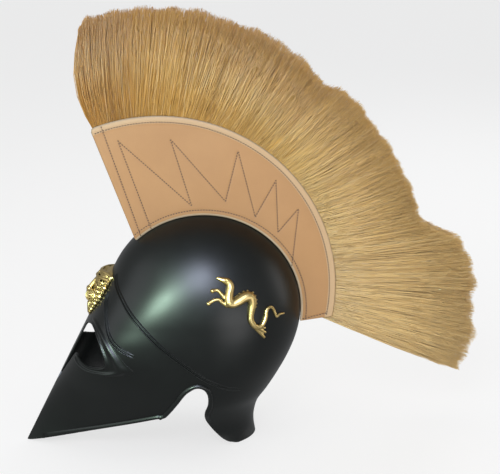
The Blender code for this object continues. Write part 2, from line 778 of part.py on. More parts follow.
def make_mask(clearance, brass):
    """The cast lion mask: a pointed plate on the brow with a band, a muzzle and a curled mane.

    It is worked out with X across, Y up and Z outwards, and is then laid on the face line.
    """
    half = [(MASK_WIDTH * row.across, MASK_HEIGHT * row.up) for row in MASK_EDGE]
    outline = half + [(-x, y) for x, y in reversed(half[:-1])]
    sunk = MASK_WIDTH / 4
    plate = flat_solid(outline, (MASK_PLATE + sunk) / 2, (0, 0, 0))
    for vert in plate.vertices:
        vert.co.z += (MASK_PLATE - sunk) / 2
    pieces = []
    for lump in MASK_LUMPS:
        sizes = (MASK_WIDTH * lump.wide, MASK_HEIGHT * lump.high, MASK_RELIEF * lump.deep)
        sides = MASK_LUMP_SIDES if lump.wide > MASK_CURL else MASK_CURL_SIDES
        for across in sorted({lump.across, -lump.across}):
            pieces.append(ball((MASK_WIDTH * across, MASK_HEIGHT * lump.up, MASK_PLATE), sizes, sides))
    nose = (MASK_WIDTH * MASK_NOSE.wide, MASK_HEIGHT * MASK_NOSE.high, MASK_RELIEF * MASK_NOSE.deep)
    pieces.append(block((0, MASK_HEIGHT * MASK_NOSE.up, MASK_PLATE + nose[2] / 2), nose))
    top = Vector((face_line(MASK_TOP), 0, MASK_TOP))
    up = Vector((face_line(1.0), 0, 1.0)).normalized()
    out = Vector((-up.z, 0, up.x))
    middle = top - up * MASK_HEIGHT / 2
    for mesh in [plate] + pieces:
        for vert in mesh.vertices:
            x, y, z = vert.co
            vert.co = middle + Vector((0, -x, 0)) + up * y + out * z
    mask = place("brow_mask", plate, model, brass)
    boolean(mask, "UNION", group("mask_relief", pieces))
    boolean(mask, "DIFFERENCE", clearance)


def dragon_bar(strokes, side):
    """A bar along some of the dragon's strokes, half sunk in the skull on one side."""
    points, radii = [], []
    for stroke in strokes:
        x = FACE_REACH + DRAGON_BEHIND + DRAGON_LENGTH * stroke.along
        z = SKULL_HEIGHT + DRAGON_ABOVE + DRAGON_LENGTH * stroke.up
        radius = DRAGON_LENGTH * stroke.thick
        points.append(Vector((x, side * side_y(x, z), z)))
        radii.append(radius)
    return bar(points, radii)


def make_dragons(clearance, brass):
    """The cast sea dragons, one on each side of the skull, with their backs cut to its curve."""
    for name, side in (("dragon_left", -1), ("dragon_right", 1)):
        body = dragon_bar(DRAGON_BODY, side)
        limbs = [dragon_bar(DRAGON_UPPER_LEG, side), dragon_bar(DRAGON_LOWER_LEG, side)]
        for tip in DRAGON_FIN_TIPS:
            limbs.append(dragon_bar((DRAGON_FIN_ROOT, tip), side))
        dragon = place(name, body, model, brass)
        boolean(dragon, "UNION", group(name + "_limbs", limbs))
        boolean(dragon, "DIFFERENCE", clearance)


def centre_over_origin():
    """Moves the whole helmet along X so that its reach is centred over the origin."""
    bpy.context.view_layer.update()
    graph = bpy.context.evaluated_depsgraph_get()
    reach = []
    for thing in model.objects:
        if thing.type == "MESH":
            reach += [vert.co.x for vert in thing.evaluated_get(graph).data.vertices]
    origin.location.x = -(min(reach) + max(reach)) / 2


seat = place("skull_clearance", skin(grow=SEAT_GAP, closed=True), cutters)
cast_brass = paint("cast_brass", "#B8963F", 0.35, 1.0)
make_shell()
make_panels(seat)
make_plume()
make_mask(seat, cast_brass)
make_dragons(seat, cast_brass)
centre_over_origin()
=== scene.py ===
import math
from collections import namedtuple

import bmesh
import bpy
import numpy as np
from mathutils import Matrix, Vector


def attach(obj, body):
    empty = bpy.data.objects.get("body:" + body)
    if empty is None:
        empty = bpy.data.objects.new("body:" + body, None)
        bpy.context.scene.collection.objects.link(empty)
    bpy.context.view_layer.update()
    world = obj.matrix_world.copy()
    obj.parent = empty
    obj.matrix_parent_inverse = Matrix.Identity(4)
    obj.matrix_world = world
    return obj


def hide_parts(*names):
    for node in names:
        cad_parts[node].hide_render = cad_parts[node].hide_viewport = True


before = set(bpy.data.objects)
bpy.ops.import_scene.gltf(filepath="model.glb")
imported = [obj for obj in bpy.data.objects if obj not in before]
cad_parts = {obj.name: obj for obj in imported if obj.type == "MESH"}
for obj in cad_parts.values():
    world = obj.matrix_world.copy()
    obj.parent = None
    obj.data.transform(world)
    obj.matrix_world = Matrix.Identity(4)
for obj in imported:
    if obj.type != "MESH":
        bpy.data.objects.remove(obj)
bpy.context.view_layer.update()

# The sheet-metal shell.  The real one is a single sheet of steel, raised over a stake until it
# covers the head and face, with hammered double lines at the temples and brows, rims turned
# round the eyes and a rolled border.  It is sprayed black, and the paint dries to a satin skin.

# Metres, in the helmet's own coordinates: the chin tip is at X = 0, Z = 0, and X runs back
CHIN_X = -0.3151
SKULL_RADIUS = 0.134
SKULL_HALF_WIDTH = 0.102
SKULL_HEIGHT = 0.190
FACE_REACH = 0.258
WALL = 0.002
EYE_OUTER = 0.081
EYE_TOP = 0.182
EYE_LOW = 0.131
CHEEK_CORNER = 0.036
CHEEK_CORNER_HEIGHT = 0.141
CHEEKS_MEET_HEIGHT = 0.088
CHEEK_GAP = 0.003
NASAL_ROOT = 0.0115
NASAL_TIP = 0.0065
NASAL_TIP_HEIGHT = 0.100
FACE_DEPTH = 0.60 * FACE_REACH
SHEET_GRID = 0.0026
SNAP_TO_EDGE = 0.0003
LINE_WIDTH = 0.0090
LINE_SPREAD = 0.24
LINE_OFFSET = 0.45
LINE_EDGE_SUNK = 0.00025
RIM_INSET = 0.0004
RIM_WIDTH = 0.0094
RIM_LIP = 0.0015
RIM_LIP_AT = 0.09
RIM_LIP_SPREAD = 0.08
RIM_RING = 0.0028
RIM_RING_AT = 0.66
RIM_RING_SPREAD = 0.17
RIM_POINT = 0.0042
RIM_POINT_REACH = 0.005
BORDER_INSET = 0.0002
BORDER_WIDTH = 0.0066
BORDER_HEIGHT = 0.0029
WELT_SUNK = 0.0006

# Level sections.  Height is a share of SKULL_HEIGHT, back and widest are shares of
# SKULL_RADIUS behind the skull's middle, width is a share of SKULL_HALF_WIDTH, and the powers
# say how pointed or square the front and back halves are
Section = namedtuple("Section", "height back width widest front_power back_power")
SECTIONS = [Section(*row) for row in (
    (-0.08, 0.505, 0.680, -0.30, 1.35, 2.0), (0.00, 0.483, 0.655, -0.30, 1.35, 2.0),
    (0.09, 0.469, 0.635, -0.30, 1.40, 2.0), (0.17, 0.480, 0.665, -0.30, 1.46, 2.0),
    (0.27, 0.528, 0.745, -0.27, 1.56, 2.0), (0.37, 0.633, 0.820, -0.20, 1.70, 2.0),
    (0.48, 0.737, 0.880, -0.15, 1.92, 2.0), (0.61, 0.845, 0.935, -0.08, 2.35, 2.0),
    (0.74, 0.928, 0.972, -0.03, 2.80, 2.0), (0.87, 0.980, 0.993, 0.00, 2.90, 2.0),
    (1.00, 1.000, 1.000, 0.00, 2.62, 2.0), (1.20, 1.000, 1.000, 0.00, 2.30, 2.0),
    (1.40, 1.000, 1.000, 0.00, 2.05, 2.0), (1.75, 1.000, 1.000, 0.00, 2.00, 2.0),
)]

# The lower edge from chin to neck: along is a share of FACE_REACH, height of SKULL_HEIGHT
EdgePoint = namedtuple("EdgePoint", "along height")
LOWER_EDGE = [EdgePoint(*row) for row in (
    (0.016, 0.000), (0.100, 0.032), (0.288, 0.106), (0.502, 0.190), (0.715, 0.273),
    (0.745, 0.279), (0.768, 0.286), (0.789, 0.308), (0.848, 0.413), (0.875, 0.466),
    (0.903, 0.509), (0.935, 0.537), (0.965, 0.540), (0.992, 0.515), (1.006, 0.460),
    (1.004, 0.385), (0.988, 0.325), (0.984, 0.270), (1.000, 0.205), (1.038, 0.116),
    (1.088, 0.040), (1.150, 0.000),
)]

# An eye's edge from the nose piece over the top to the cheek: across is a share of
# EYE_OUTER, and height runs from 0 at EYE_LOW to 1 at EYE_TOP
EyePoint = namedtuple("EyePoint", "across height")
EYE_EDGE = [EyePoint(*row) for row in (
    (0.25, 0.92), (0.38, 0.97), (0.50, 1.00), (0.61, 0.98), (0.72, 0.91), (0.83, 0.79),
    (0.92, 0.62), (0.98, 0.40), (1.00, 0.20), (0.98, 0.07), (0.92, 0.01), (0.83, 0.00),
    (0.73, 0.06), (0.62, 0.14), (0.52, 0.19),
)]

# The hammered lines: bearing in degrees from the front, height as a share of SKULL_HEIGHT,
# and size as a share of the full line
RidgePoint = namedtuple("RidgePoint", "bearing height size")
TEMPLE_LINE = [RidgePoint(*row) for row in (
    (15.0, 1.305, 0.7), (21.5, 1.255, 1.0), (32.5, 1.180, 1.0), (43.5, 1.075, 1.0),
    (51.0, 0.990, 1.0), (61.0, 0.865, 1.0), (75.0, 0.745, 1.0), (92.0, 0.632, 1.0),
    (110.0, 0.548, 0.8), (122.0, 0.505, 0.5), (134.0, 0.488, 0.1),
)]
BROW_LINE = [RidgePoint(*row) for row in (
    (16.5, 1.190, 0.5), (18.5, 1.145, 0.9), (23.0, 1.087, 1.0), (28.0, 1.004, 1.0),
    (31.0, 0.949, 1.0), (34.5, 0.897, 1.0), (38.0, 0.860, 1.0), (41.5, 0.830, 0.8),
    (46.0, 0.798, 0.1),
)]


def unit(vectors):
    """Vectors brought to length 1."""
    return vectors / np.linalg.norm(vectors, axis=-1, keepdims=True)


def lengths_along(path):
    """How far along a path each of its points lies."""
    return np.concatenate(([0.0], np.cumsum(np.linalg.norm(np.diff(path, axis=0), axis=1))))


def along_rows(table, at, column):
    """The smooth value of a table's column at places along its first column."""
    places = np.array([row[0] for row in table])
    values = np.array([getattr(row, column) for row in table])
    slope = np.zeros(len(places))
    slope[1:-1] = (values[2:] - values[:-2]) / (places[2:] - places[:-2])
    at = np.clip(at, places[0], places[-1])
    k = np.clip(np.searchsorted(places, at, side="right") - 1, 0, len(places) - 2)
    span = places[k + 1] - places[k]
    t = (at - places[k]) / span
    start = (2 * t**3 - 3 * t**2 + 1) * values[k] + (t**3 - 2 * t**2 + t) * slope[k] * span
    end = (3 * t**2 - 2 * t**3) * values[k + 1] + (t**3 - t**2) * slope[k + 1] * span
    return start + end


def level_section(height):
    """Front, back, widest place, half width and both powers of the shell at some heights."""
    height = np.asarray(height, float)
    far = math.hypot(FACE_REACH, SKULL_HEIGHT)
    rise = math.atan2(SKULL_HEIGHT, FACE_REACH) + math.asin(SKULL_RADIUS / far)
    brow = math.sqrt(far**2 - SKULL_RADIUS**2) * math.sin(rise)
    share = height / SKULL_HEIGHT
    above = np.maximum(height - SKULL_HEIGHT, 0.0) / SKULL_RADIUS
    round_off = np.sqrt(np.maximum(1.0 - above**2, 1e-9))
    back = FACE_REACH + SKULL_RADIUS * along_rows(SECTIONS, share, "back") * round_off
    widest = FACE_REACH + SKULL_RADIUS * along_rows(SECTIONS, share, "widest")
    width = SKULL_HALF_WIDTH * along_rows(SECTIONS, share, "width") * round_off
    front = np.where(height < brow, height / math.tan(rise), FACE_REACH - SKULL_RADIUS * round_off)
    return (front, back, widest, width, along_rows(SECTIONS, share, "front_power"),
            along_rows(SECTIONS, share, "back_power"))


def shell_ring(height, count):
    """Half of a level ring from front to back, in count equal steps along the metal."""
    front, back, widest, width, front_power, back_power = level_section(height)
    turn = np.linspace(0, math.pi, 1600)
    c, s = np.cos(turn), np.sin(turn)
    power = np.where(c > 0, front_power, back_power)
    reach = np.where(c > 0, widest - front, back - widest)
    x = widest - reach * np.sign(c) * np.abs(c) ** (2 / power)
    y = width * np.abs(s) ** (2 / power)
    walked = lengths_along(np.stack((x, y), -1))
    even = np.linspace(0, walked[-1], count + 1)
    return np.interp(even, walked, x), np.interp(even, walked, y)


def by_bearing(bearing, height):
    """Points of the shell's outside at bearings in radians from the front, and heights."""
    front, back, widest, width, front_power, back_power = level_section(height)
    c, s = np.cos(bearing), np.sin(bearing)
    power = np.where(c > 0, front_power, back_power)
    reach = np.where(c > 0, widest - front, back - widest)
    radius = ((np.abs(c) / reach) ** power + (np.abs(s) / width) ** power) ** (-1 / power)
    return np.stack((widest - radius * c, radius * s, np.broadcast_to(height, radius.shape)), -1)


def shell_normal(point):
    """Outward normals of the shell at points on it."""
    step = 0.0004
    bearing = np.arctan2(point[..., 1], level_section(point[..., 2])[2] - point[..., 0])
    height = point[..., 2]
    round_it = by_bearing(bearing + step, height) - by_bearing(bearing - step, height)
    up_it = by_bearing(bearing, height + step) - by_bearing(bearing, height - step)
    return unit(np.cross(up_it, round_it))


def side_y(x, z):
    """How far the shell's outside stands from the middle plane, seen from the side."""
    front, back, widest, width, front_power, back_power = level_section(z)
    power = np.where(x < widest, front_power, back_power)
    reach = np.where(x < widest, widest - front, back - widest)
    share = np.clip(np.abs(x - widest) / reach, 0.0, 1.0)
    return width * (1 - share**power) ** (1 / power)


def front_x(y, z):
    """X of the shell's outside, seen from the front."""
    front, _, widest, width, power, _ = level_section(z)
    share = np.clip(np.abs(y) / width, 0.0, 1.0)
    return widest - (widest - front) * (1 - share**power) ** (1 / power)


def smooth_path(points, steps):
    """A smooth curve through points, with steps pieces between each two."""
    p = np.array(points, float)
    p = np.vstack((2 * p[0] - p[1], p, 2 * p[-1] - p[-2]))
    out = []
    for a, b, c, d in zip(p, p[1:], p[2:], p[3:]):
        for t in np.arange(steps) / steps:
            out.append(0.5 * (2 * b + (c - a) * t + (2 * a - 5 * b + 4 * c - d) * t**2
                              + (3 * b - a - 3 * c + d) * t**3))
    out.append(p[-2])
    return np.array(out)


def distance_to(path, places):
    """Distance of flat places from a flat path."""
    best = np.full(len(places), 1.0)
    for a, b in zip(path[:-1], path[1:]):
        along = b - a
        t = np.clip((places - a) @ along / max(along @ along, 1e-12), 0, 1)
        best = np.minimum(best, np.linalg.norm(places - a - t[:, None] * along, axis=1))
    return best


def within(loop, places):
    """Which flat places lie inside a closed loop."""
    x, y = places.T
    hit = np.zeros(len(places), bool)
    for (ax, ay), (bx, by) in zip(loop, np.roll(loop, -1, 0)):
        crosses = (ay > y) != (by > y)
        rise = by - ay if by != ay else 1e-12
        hit ^= crosses & (x < (bx - ax) * (y - ay) / rise + ax)
    return hit


def eye_path():
    """The edge of an eye opening from nose piece to cheek corner, as Y and Z."""
    rows = [(EYE_OUTER * p.across, EYE_LOW + (EYE_TOP - EYE_LOW) * p.height) for p in EYE_EDGE]
    return smooth_path(rows + [(CHEEK_CORNER, CHEEK_CORNER_HEIGHT)], 6)


def face_field(points):
    """Signed distance from the eyes, the nose piece's sides and the slit: negative is cut away."""
    turn = np.radians(np.linspace(0, 90, 9))
    tip = np.stack((NASAL_TIP * np.sin(turn), NASAL_TIP_HEIGHT + NASAL_TIP * (1 - np.cos(turn))), -1)
    root_height = EYE_LOW + (EYE_TOP - EYE_LOW) * EYE_EDGE[0].height - NASAL_ROOT / 2
    side = [(NASAL_ROOT * 0.8 + NASAL_TIP * 0.2, root_height - NASAL_ROOT), (NASAL_ROOT, root_height)]
    slit = [(CHEEK_GAP / 2, CHEEKS_MEET_HEIGHT), (CHEEK_GAP / 2, -SKULL_HEIGHT)]
    path = np.vstack((tip, side, eye_path(), slit))
    loop = np.vstack((path, [(-0.001, -SKULL_HEIGHT), (-0.001, NASAL_TIP_HEIGHT)]))
    places = np.stack((np.abs(points[:, 1]), points[:, 2]), -1)
    away = distance_to(path, places) * np.where(within(loop, places), -1, 1)
    return np.where(points[:, 0] < FACE_DEPTH, away, 1.0)


def edge_path(first=0, last=None):
    """The smooth lower edge seen from the side, as X and Z."""
    rows = [(FACE_REACH * p.along, SKULL_HEIGHT * p.height) for p in LOWER_EDGE[first:last]]
    return smooth_path(rows, 6)


def lower_field(points):
    """Signed distance from the lower edge, seen from the side: negative is cut away."""
    far = FACE_REACH + 2 * SKULL_RADIUS
    path = np.vstack(([(-SKULL_HEIGHT, 0)], edge_path(), [(far, 0)]))
    loop = np.vstack((path, [(far, -SKULL_HEIGHT), (-SKULL_HEIGHT, -SKULL_HEIGHT)]))
    places = points[:, (0, 2)]
    return distance_to(path, places) * np.where(within(loop, places), -1, 1)


def trim(bm, field):
    """Cuts a sheet along the zero line of a field, and removes the negative side."""
    verts = list(bm.verts)
    away = field(np.array([v.co for v in verts]))
    value = {v: (0.0 if abs(f) < SNAP_TO_EDGE else float(f)) for v, f in zip(verts, away)}
    for edge in list(bm.edges):
        a, b = edge.verts
        if value[a] * value[b] < 0:
            _, middle = bmesh.utils.edge_split(edge, a, value[a] / (value[a] - value[b]))
            value[middle] = 0.0
    line = [v for v in bm.verts if value[v] == 0.0]
    bmesh.ops.connect_verts(bm, verts=line)
    gone = [f for f in bm.faces if sum(value[v] for v in f.verts) < 0]
    bmesh.ops.delete(bm, geom=gone, context="FACES")


def bridge(bm, rings):
    """Faces between closed rings of vertices, each to the next."""
    for first, second in zip(rings, rings[1:]):
        for k in range(len(first)):
            n = (k + 1) % len(first)
            bm.faces.new((first[k], first[n], second[n], second[k]))


def sheet():
    """The shell's outer skin, evenly divided, with its openings cut."""
    low = SECTIONS[0].height * SKULL_HEIGHT
    below = np.linspace(low, SKULL_HEIGHT, round((SKULL_HEIGHT - low) / SHEET_GRID))[:-1]
    rise = np.radians(np.linspace(0, 90, round(SKULL_RADIUS * math.pi / 2 / SHEET_GRID)))[:-1]
    heights = np.concatenate((below, SKULL_HEIGHT + SKULL_RADIUS * np.sin(rise)))
    count = round(math.pi * (SKULL_RADIUS + SKULL_HALF_WIDTH) / 2 / SHEET_GRID)
    bm = bmesh.new()
    rings = []
    for height in heights:
        x, y = shell_ring(height, count)
        left = [bm.verts.new((a, -b, height)) for a, b in zip(x, y)]
        right = [bm.verts.new((a, b, height)) for a, b in zip(x[1:-1], y[1:-1])]
        rings.append(left + right[::-1])
    crown = bm.verts.new((FACE_REACH, 0, SKULL_HEIGHT + SKULL_RADIUS))
    bridge(bm, rings)
    for i in range(2 * count):
        bm.faces.new((rings[-1][i], rings[-1][(i + 1) % (2 * count)], crown))
    trim(bm, face_field)
    trim(bm, lower_field)
    return bm


def welt(bm, grid, heights):
    """A closed raised strip on each side of the shell: rows of points, lifted by their heights."""
    for flank in (grid, grid * [1, -1, 1]):
        out = shell_normal(flank)
        top = flank + out * heights[..., None]
        base = flank - out * WELT_SUNK
        rows = [[bm.verts.new(p) for p in list(a) + list(b[::-1])] for a, b in zip(top, base)]
        bridge(bm, rows)
        bm.faces.new(rows[0][::-1])
        bm.faces.new(rows[-1])


def onto_shell(points):
    """Points moved level onto the shell's outside."""
    widest = level_section(points[..., 2])[2]
    return by_bearing(np.arctan2(points[..., 1], widest - points[..., 0]), points[..., 2])


def hammered_line(bm, table, main, second):
    """A double line by bearing and height: a strong ridge in front and a fainter one behind."""
    fine = smooth_path([tuple(row) for row in table], 16)
    size = np.clip(fine[:, 2], 0, None)
    path = by_bearing(np.radians(fine[:, 0]), SKULL_HEIGHT * fine[:, 1])
    across = np.cross(shell_normal(path), unit(np.gradient(path, axis=0)))
    u = np.linspace(-1, 1, 33)
    grid = onto_shell(path[:, None, :] - across[:, None, :] * (u * LINE_WIDTH / 2)[None, :, None])
    ridges = [high * np.exp(-(((u - at) / LINE_SPREAD) ** 2))
              for high, at in ((main, -LINE_OFFSET), (second, LINE_OFFSET))]
    fade = np.clip(1.25 * (1 - u**2), 0, 1) ** 0.5
    welt(bm, grid, size[:, None] * (sum(ridges) * fade)[None, :] - LINE_EDGE_SUNK)


def flat_offset(path, away):
    """A flat path moved to its left by a distance."""
    along = unit(np.gradient(path, axis=0))
    return path + np.stack((-along[:, 1], along[:, 0]), -1) * away


def eye_rims(bm):
    """The rims turned out round the eyes: a lip at the edge, a groove and a raised ring."""
    path = eye_path()[10:-4]
    corner = (0.97 * EYE_OUTER, EYE_LOW + 0.04 * (EYE_TOP - EYE_LOW))
    pointed = RIM_POINT * np.exp(-((np.linalg.norm(path - corner, axis=1) / RIM_POINT_REACH) ** 2))
    u = np.linspace(0, 1, 33)
    grid = []
    for share in u:
        y, z = flat_offset(path, (RIM_INSET + RIM_WIDTH * share + pointed * share)[:, None]).T
        grid.append(np.stack((front_x(y, z), y, z), -1))
    lip = RIM_LIP * np.exp(-(((u - RIM_LIP_AT) / RIM_LIP_SPREAD) ** 2))
    ring = RIM_RING * np.exp(-np.abs((u - RIM_RING_AT) / RIM_RING_SPREAD) ** 2.5)
    fade = np.sin(np.linspace(0.06, math.pi - 0.06, len(path))) ** 0.4
    heights = fade[:, None] * ((lip + ring) * np.clip(8 * (1 - u), 0, 1))[None, :]
    welt(bm, np.stack(grid, 1), heights)


def rolled_border(bm):
    """The border hammered out along the cheeks' lower edge and round the notches."""
    path = edge_path(1, -3)
    u = np.linspace(0, 1, 17)
    grid = []
    for share in u:
        x, z = flat_offset(path, BORDER_INSET + BORDER_WIDTH * share).T
        grid.append(np.stack((x, side_y(x, z), z), -1))
    fade = np.clip(np.minimum(np.arange(len(path)), np.arange(len(path))[::-1]) / 10, 0.1, 1)
    roll = BORDER_HEIGHT * np.sin(math.pi * np.clip(u, 0.02, 0.98)) ** 0.7
    welt(bm, np.stack(grid, 1), fade[:, None] * roll[None, :])


def put(name, data):
    """A new object, linked to the scene."""
    made = bpy.data.objects.new(name, data)
    bpy.context.scene.collection.objects.link(made)
    return made


def settle(name, bm, material):
    """A finished mesh, moved from helmet coordinates to the row's frame."""
    bmesh.ops.translate(bm, verts=bm.verts, vec=(CHIN_X, 0, 0))
    mesh = bpy.data.meshes.new(name)
    bm.to_mesh(mesh)
    bm.free()
    mesh.materials.append(material)
    mesh.shade_smooth()
    return put(name, mesh)


def keep_result(piece):
    """Turns a piece with modifiers into a plain mesh."""
    bpy.context.view_layer.update()
    graph = bpy.context.evaluated_depsgraph_get()
    mesh = bpy.data.meshes.new_from_object(piece.evaluated_get(graph))
    piece.modifiers.clear()
    piece.data = mesh
    return piece


def linear(web):
    """A web colour as linear red, green, blue and alpha."""
    parts = [int(web[i : i + 2], 16) / 255 for i in (1, 3, 5)]
    return [c / 12.92 if c <= 0.04045 else ((c + 0.055) / 1.055) ** 2.4 for c in parts] + [1.0]


def node(tree, kind, settings={}, links={}, **values):
    """Adds a node.  Settings are its properties, values its sockets by name, or by number after
    an underscore, and links say what feeds them."""
    new = tree.nodes.new(kind)
    for key, value in settings.items():
        setattr(new, key, value)
    for key, value in values.items():
        socket = int(key[1:]) if key[1:].isdigit() else key.replace("_", " ")
        new.inputs[socket].default_value = value
    for key, source in links.items():
        tree.links.new(source, new.inputs[key])
    return new


def surface(name, **values):
    """A new material, its tree and its Principled shader, with constants on the shader's sockets."""
    material = bpy.data.materials.new(name)
    material.use_nodes = True
    shader = material.node_tree.nodes["Principled BSDF"]
    for key, value in values.items():
        shader.inputs[key.replace("_", " ")].default_value = value
    return material, material.node_tree, shader


# Satin black lacquer on steel: a smooth, slightly uneven skin, so that soft lights show as
# wide blurred glows, with faint dust and handling marks that change how sharp they are
paint, tree, shader = surface("satin_black_lacquer", IOR=1.5, Specular_IOR_Level=0.36)
where = node(tree, "ShaderNodeTexCoord")
handling = node(tree, "ShaderNodeTexNoise", links={"Vector": where.outputs["Object"]},
                Scale=14.0, Detail=5.0, Roughness=0.6)
tone = node(tree, "ShaderNodeMix", {"data_type": "RGBA"}, {0: handling.outputs["Fac"]},
            _6=linear("#050706"), _7=linear("#0B0F0D"))
tree.links.new(tone.outputs[2], shader.inputs["Base Color"])
gloss = node(tree, "ShaderNodeMapRange", links={"Value": handling.outputs["Fac"]},
             From_Min=0.3, From_Max=0.7, To_Min=0.34, To_Max=0.41)
tree.links.new(gloss.outputs["Result"], shader.inputs["Roughness"])
# Spray grain of about 1.5 mm, the finest that shows
grain = node(tree, "ShaderNodeTexNoise", links={"Vector": where.outputs["Object"]},
             Scale=650.0, Detail=2.0)
skin_bump = node(tree, "ShaderNodeBump", links={"Height": grain.outputs["Fac"]},
                 Strength=0.06, Distance=0.0003)
tree.links.new(skin_bump.outputs["Normal"], shader.inputs["Normal"])

shell = settle("shell_sheet", sheet(), paint)
wall = shell.modifiers.new("wall", "SOLIDIFY")
wall.thickness = WALL
wall.offset = -1
wall.use_even_offset = True
keep_result(shell)
shell.data.set_sharp_from_angle(angle=math.radians(40))
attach(shell, "root")
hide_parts("helmet_shell")

lines = bmesh.new()
hammered_line(lines, TEMPLE_LINE, main=0.0022, second=0.0017)
hammered_line(lines, BROW_LINE, main=0.0023, second=0.0020)
eye_rims(lines)
rolled_border(lines)
bmesh.ops.recalc_face_normals(lines, faces=lines.faces)
raised = settle("shell_raised_lines", lines, paint)
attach(raised, "root")
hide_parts("helmet_shell")

# The leather crest box.  Two upright panels of vegetable-tanned cowhide, 3 mm thick, follow the
# skull with their feet and a circular arc above.  A paler folded band is sewn round the arc,
# and a double front seam and a zigzag are machine-stitched through each panel.
PANEL_SPACING = 0.034
PANEL_THICKNESS = 0.003
PANEL_ARC_RADIUS = 0.238
PANEL_ARC_FORWARD = 0.429 * SKULL_RADIUS
PANEL_ARC_RISE = 0.243 * SKULL_RADIUS
PANEL_FOOT = (131.2, -10.3)
PANEL_TOP = (118.5, -6.0)
PANEL_GRID = 0.0016
PANEL_CORNER = 0.005
SEAT_GAP = 0.0008
SEAM_ON_BAND = 0.0012
BAND_FALL = 0.00025
PANEL_SEAT = SEAT_GAP + SKULL_RADIUS * math.sqrt(
    1 - ((PANEL_SPACING + PANEL_THICKNESS) / 2 / SKULL_HALF_WIDTH) ** 2)
BAND_WIDTH = 0.0095
BAND_RISE = 0.0008
FOOT_SEAM = 0.0075
STITCH_PITCH = 0.0037
STITCH_LENGTH = 0.0025
STITCH_THICKNESS = 0.0014
GROOVE_WIDTH = 0.0014
GROOVE_DEPTH = 0.0004
LEATHER_WAVE = 0.0005
CUT_EDGE_ROUND = 0.0009

# The zigzag's corners: sweep in degrees above the level line behind the skull, rise as a
# share of the way from the skull to the arc
Corner = namedtuple("Corner", "sweep rise")
ZIGZAG = [Corner(*row) for row in (
    (113.3, 0.820), (93.9, 0.095), (98.1, 0.772), (76.8, 0.181), (76.0, 0.812), (59.7, 0.144),
    (59.6, 0.753), (45.1, 0.178), (45.8, 0.720), (25.2, 0.010),
)]
FRONT_SEAM = (Corner(115.6, 0.980), Corner(126.6, 0.005))
SECOND_SEAM = (Corner(113.3, 0.820), Corner(119.3, 0.005))


def panel_radius(sweep):
    """Distance from the skull's middle to the panels' arc at a sweep in degrees."""
    c, s = np.cos(np.radians(sweep)), np.sin(np.radians(sweep))
    near = -c * PANEL_ARC_FORWARD + s * PANEL_ARC_RISE
    middle = PANEL_ARC_FORWARD**2 + PANEL_ARC_RISE**2
    return near + np.sqrt(near**2 - middle + PANEL_ARC_RADIUS**2)


def on_skull(sweep, radius):
    """X and Z of places at sweeps in degrees and distances from the skull's middle."""
    turn = np.radians(sweep)
    return np.stack((FACE_REACH + radius * np.cos(turn), SKULL_HEIGHT + radius * np.sin(turn)), -1)


def between(ends, share):
    """A value part of the way from one end to the other."""
    return ends[0] + (ends[1] - ends[0]) * share


def corner_place(corner):
    """X and Z of a seam's corner."""
    arc = panel_radius(corner.sweep)
    return on_skull(corner.sweep, SKULL_RADIUS + (arc - SKULL_RADIUS) * corner.rise)


def even(path, step):
    """A flat path cut into even short pieces."""
    walked = lengths_along(path)
    places = np.linspace(0, walked[-1], math.ceil(walked[-1] / step) + 1)
    return np.stack([np.interp(places, walked, path[:, k]) for k in (0, 1)], -1)


def seam_paths():
    """The stitched lines on a panel, as X and Z."""
    sweep = np.linspace(PANEL_TOP[0] - 0.7, PANEL_TOP[1] + 1.0, 90)
    arc_seam = on_skull(sweep, panel_radius(sweep) - BAND_WIDTH + SEAM_ON_BAND)
    sweep = np.linspace(PANEL_FOOT[0] - 2.6, PANEL_FOOT[1] + 2.0, 90)
    foot_seam = on_skull(sweep, PANEL_SEAT + FOOT_SEAM)
    rear = np.array([on_skull(-4.6, panel_radius(-4.6) - BAND_WIDTH),
                     on_skull(-8.6, SKULL_RADIUS + 0.003)])
    seams = (ZIGZAG, FRONT_SEAM, SECOND_SEAM)
    corners = [np.array([corner_place(corner) for corner in seam]) for seam in seams]
    return [arc_seam, foot_seam, rear] + corners


def panel_surface(flat, seams):
    """Depth of a panel's outer face, and how far its places are from the arc and from a seam."""
    groove = np.full(len(flat), 1.0)
    for path in seams:
        groove = np.minimum(groove, distance_to(path, flat))
    sweep = np.degrees(np.arctan2(flat[:, 1] - SKULL_HEIGHT, flat[:, 0] - FACE_REACH))
    from_arc = panel_radius(sweep) - np.hypot(flat[:, 0] - FACE_REACH, flat[:, 1] - SKULL_HEIGHT)
    band = BAND_RISE / (1 + np.exp((from_arc - BAND_WIDTH) / BAND_FALL))
    dip = GROOVE_DEPTH * np.exp(-((groove / GROOVE_WIDTH) ** 2))
    wave = LEATHER_WAVE * np.sin(flat[:, 0] * 38 + 1.0) * np.sin(flat[:, 1] * 31)
    return PANEL_SPACING / 2 + PANEL_THICKNESS + band - dip + wave, from_arc, groove


def close_plate(bm, front, back):
    """Faces over two grids of vertices and round their rim, all pointing outwards."""
    columns, rows = len(front), len(front[0])
    for made in (front, back):
        for i in range(columns - 1):
            for k in range(rows - 1):
                bm.faces.new((made[i][k], made[i + 1][k], made[i + 1][k + 1], made[i][k + 1]))
    rim = [(i, 0) for i in range(columns)] + [(columns - 1, k) for k in range(1, rows)]
    rim += [(i, rows - 1) for i in range(columns - 2, -1, -1)]
    rim += [(0, k) for k in range(rows - 2, 0, -1)]
    for (i, k), (m, n) in zip(rim, rim[1:] + rim[:1]):
        bm.faces.new((front[i][k], back[i][k], back[m][n], front[m][n]))
    bmesh.ops.recalc_face_normals(bm, faces=bm.faces)


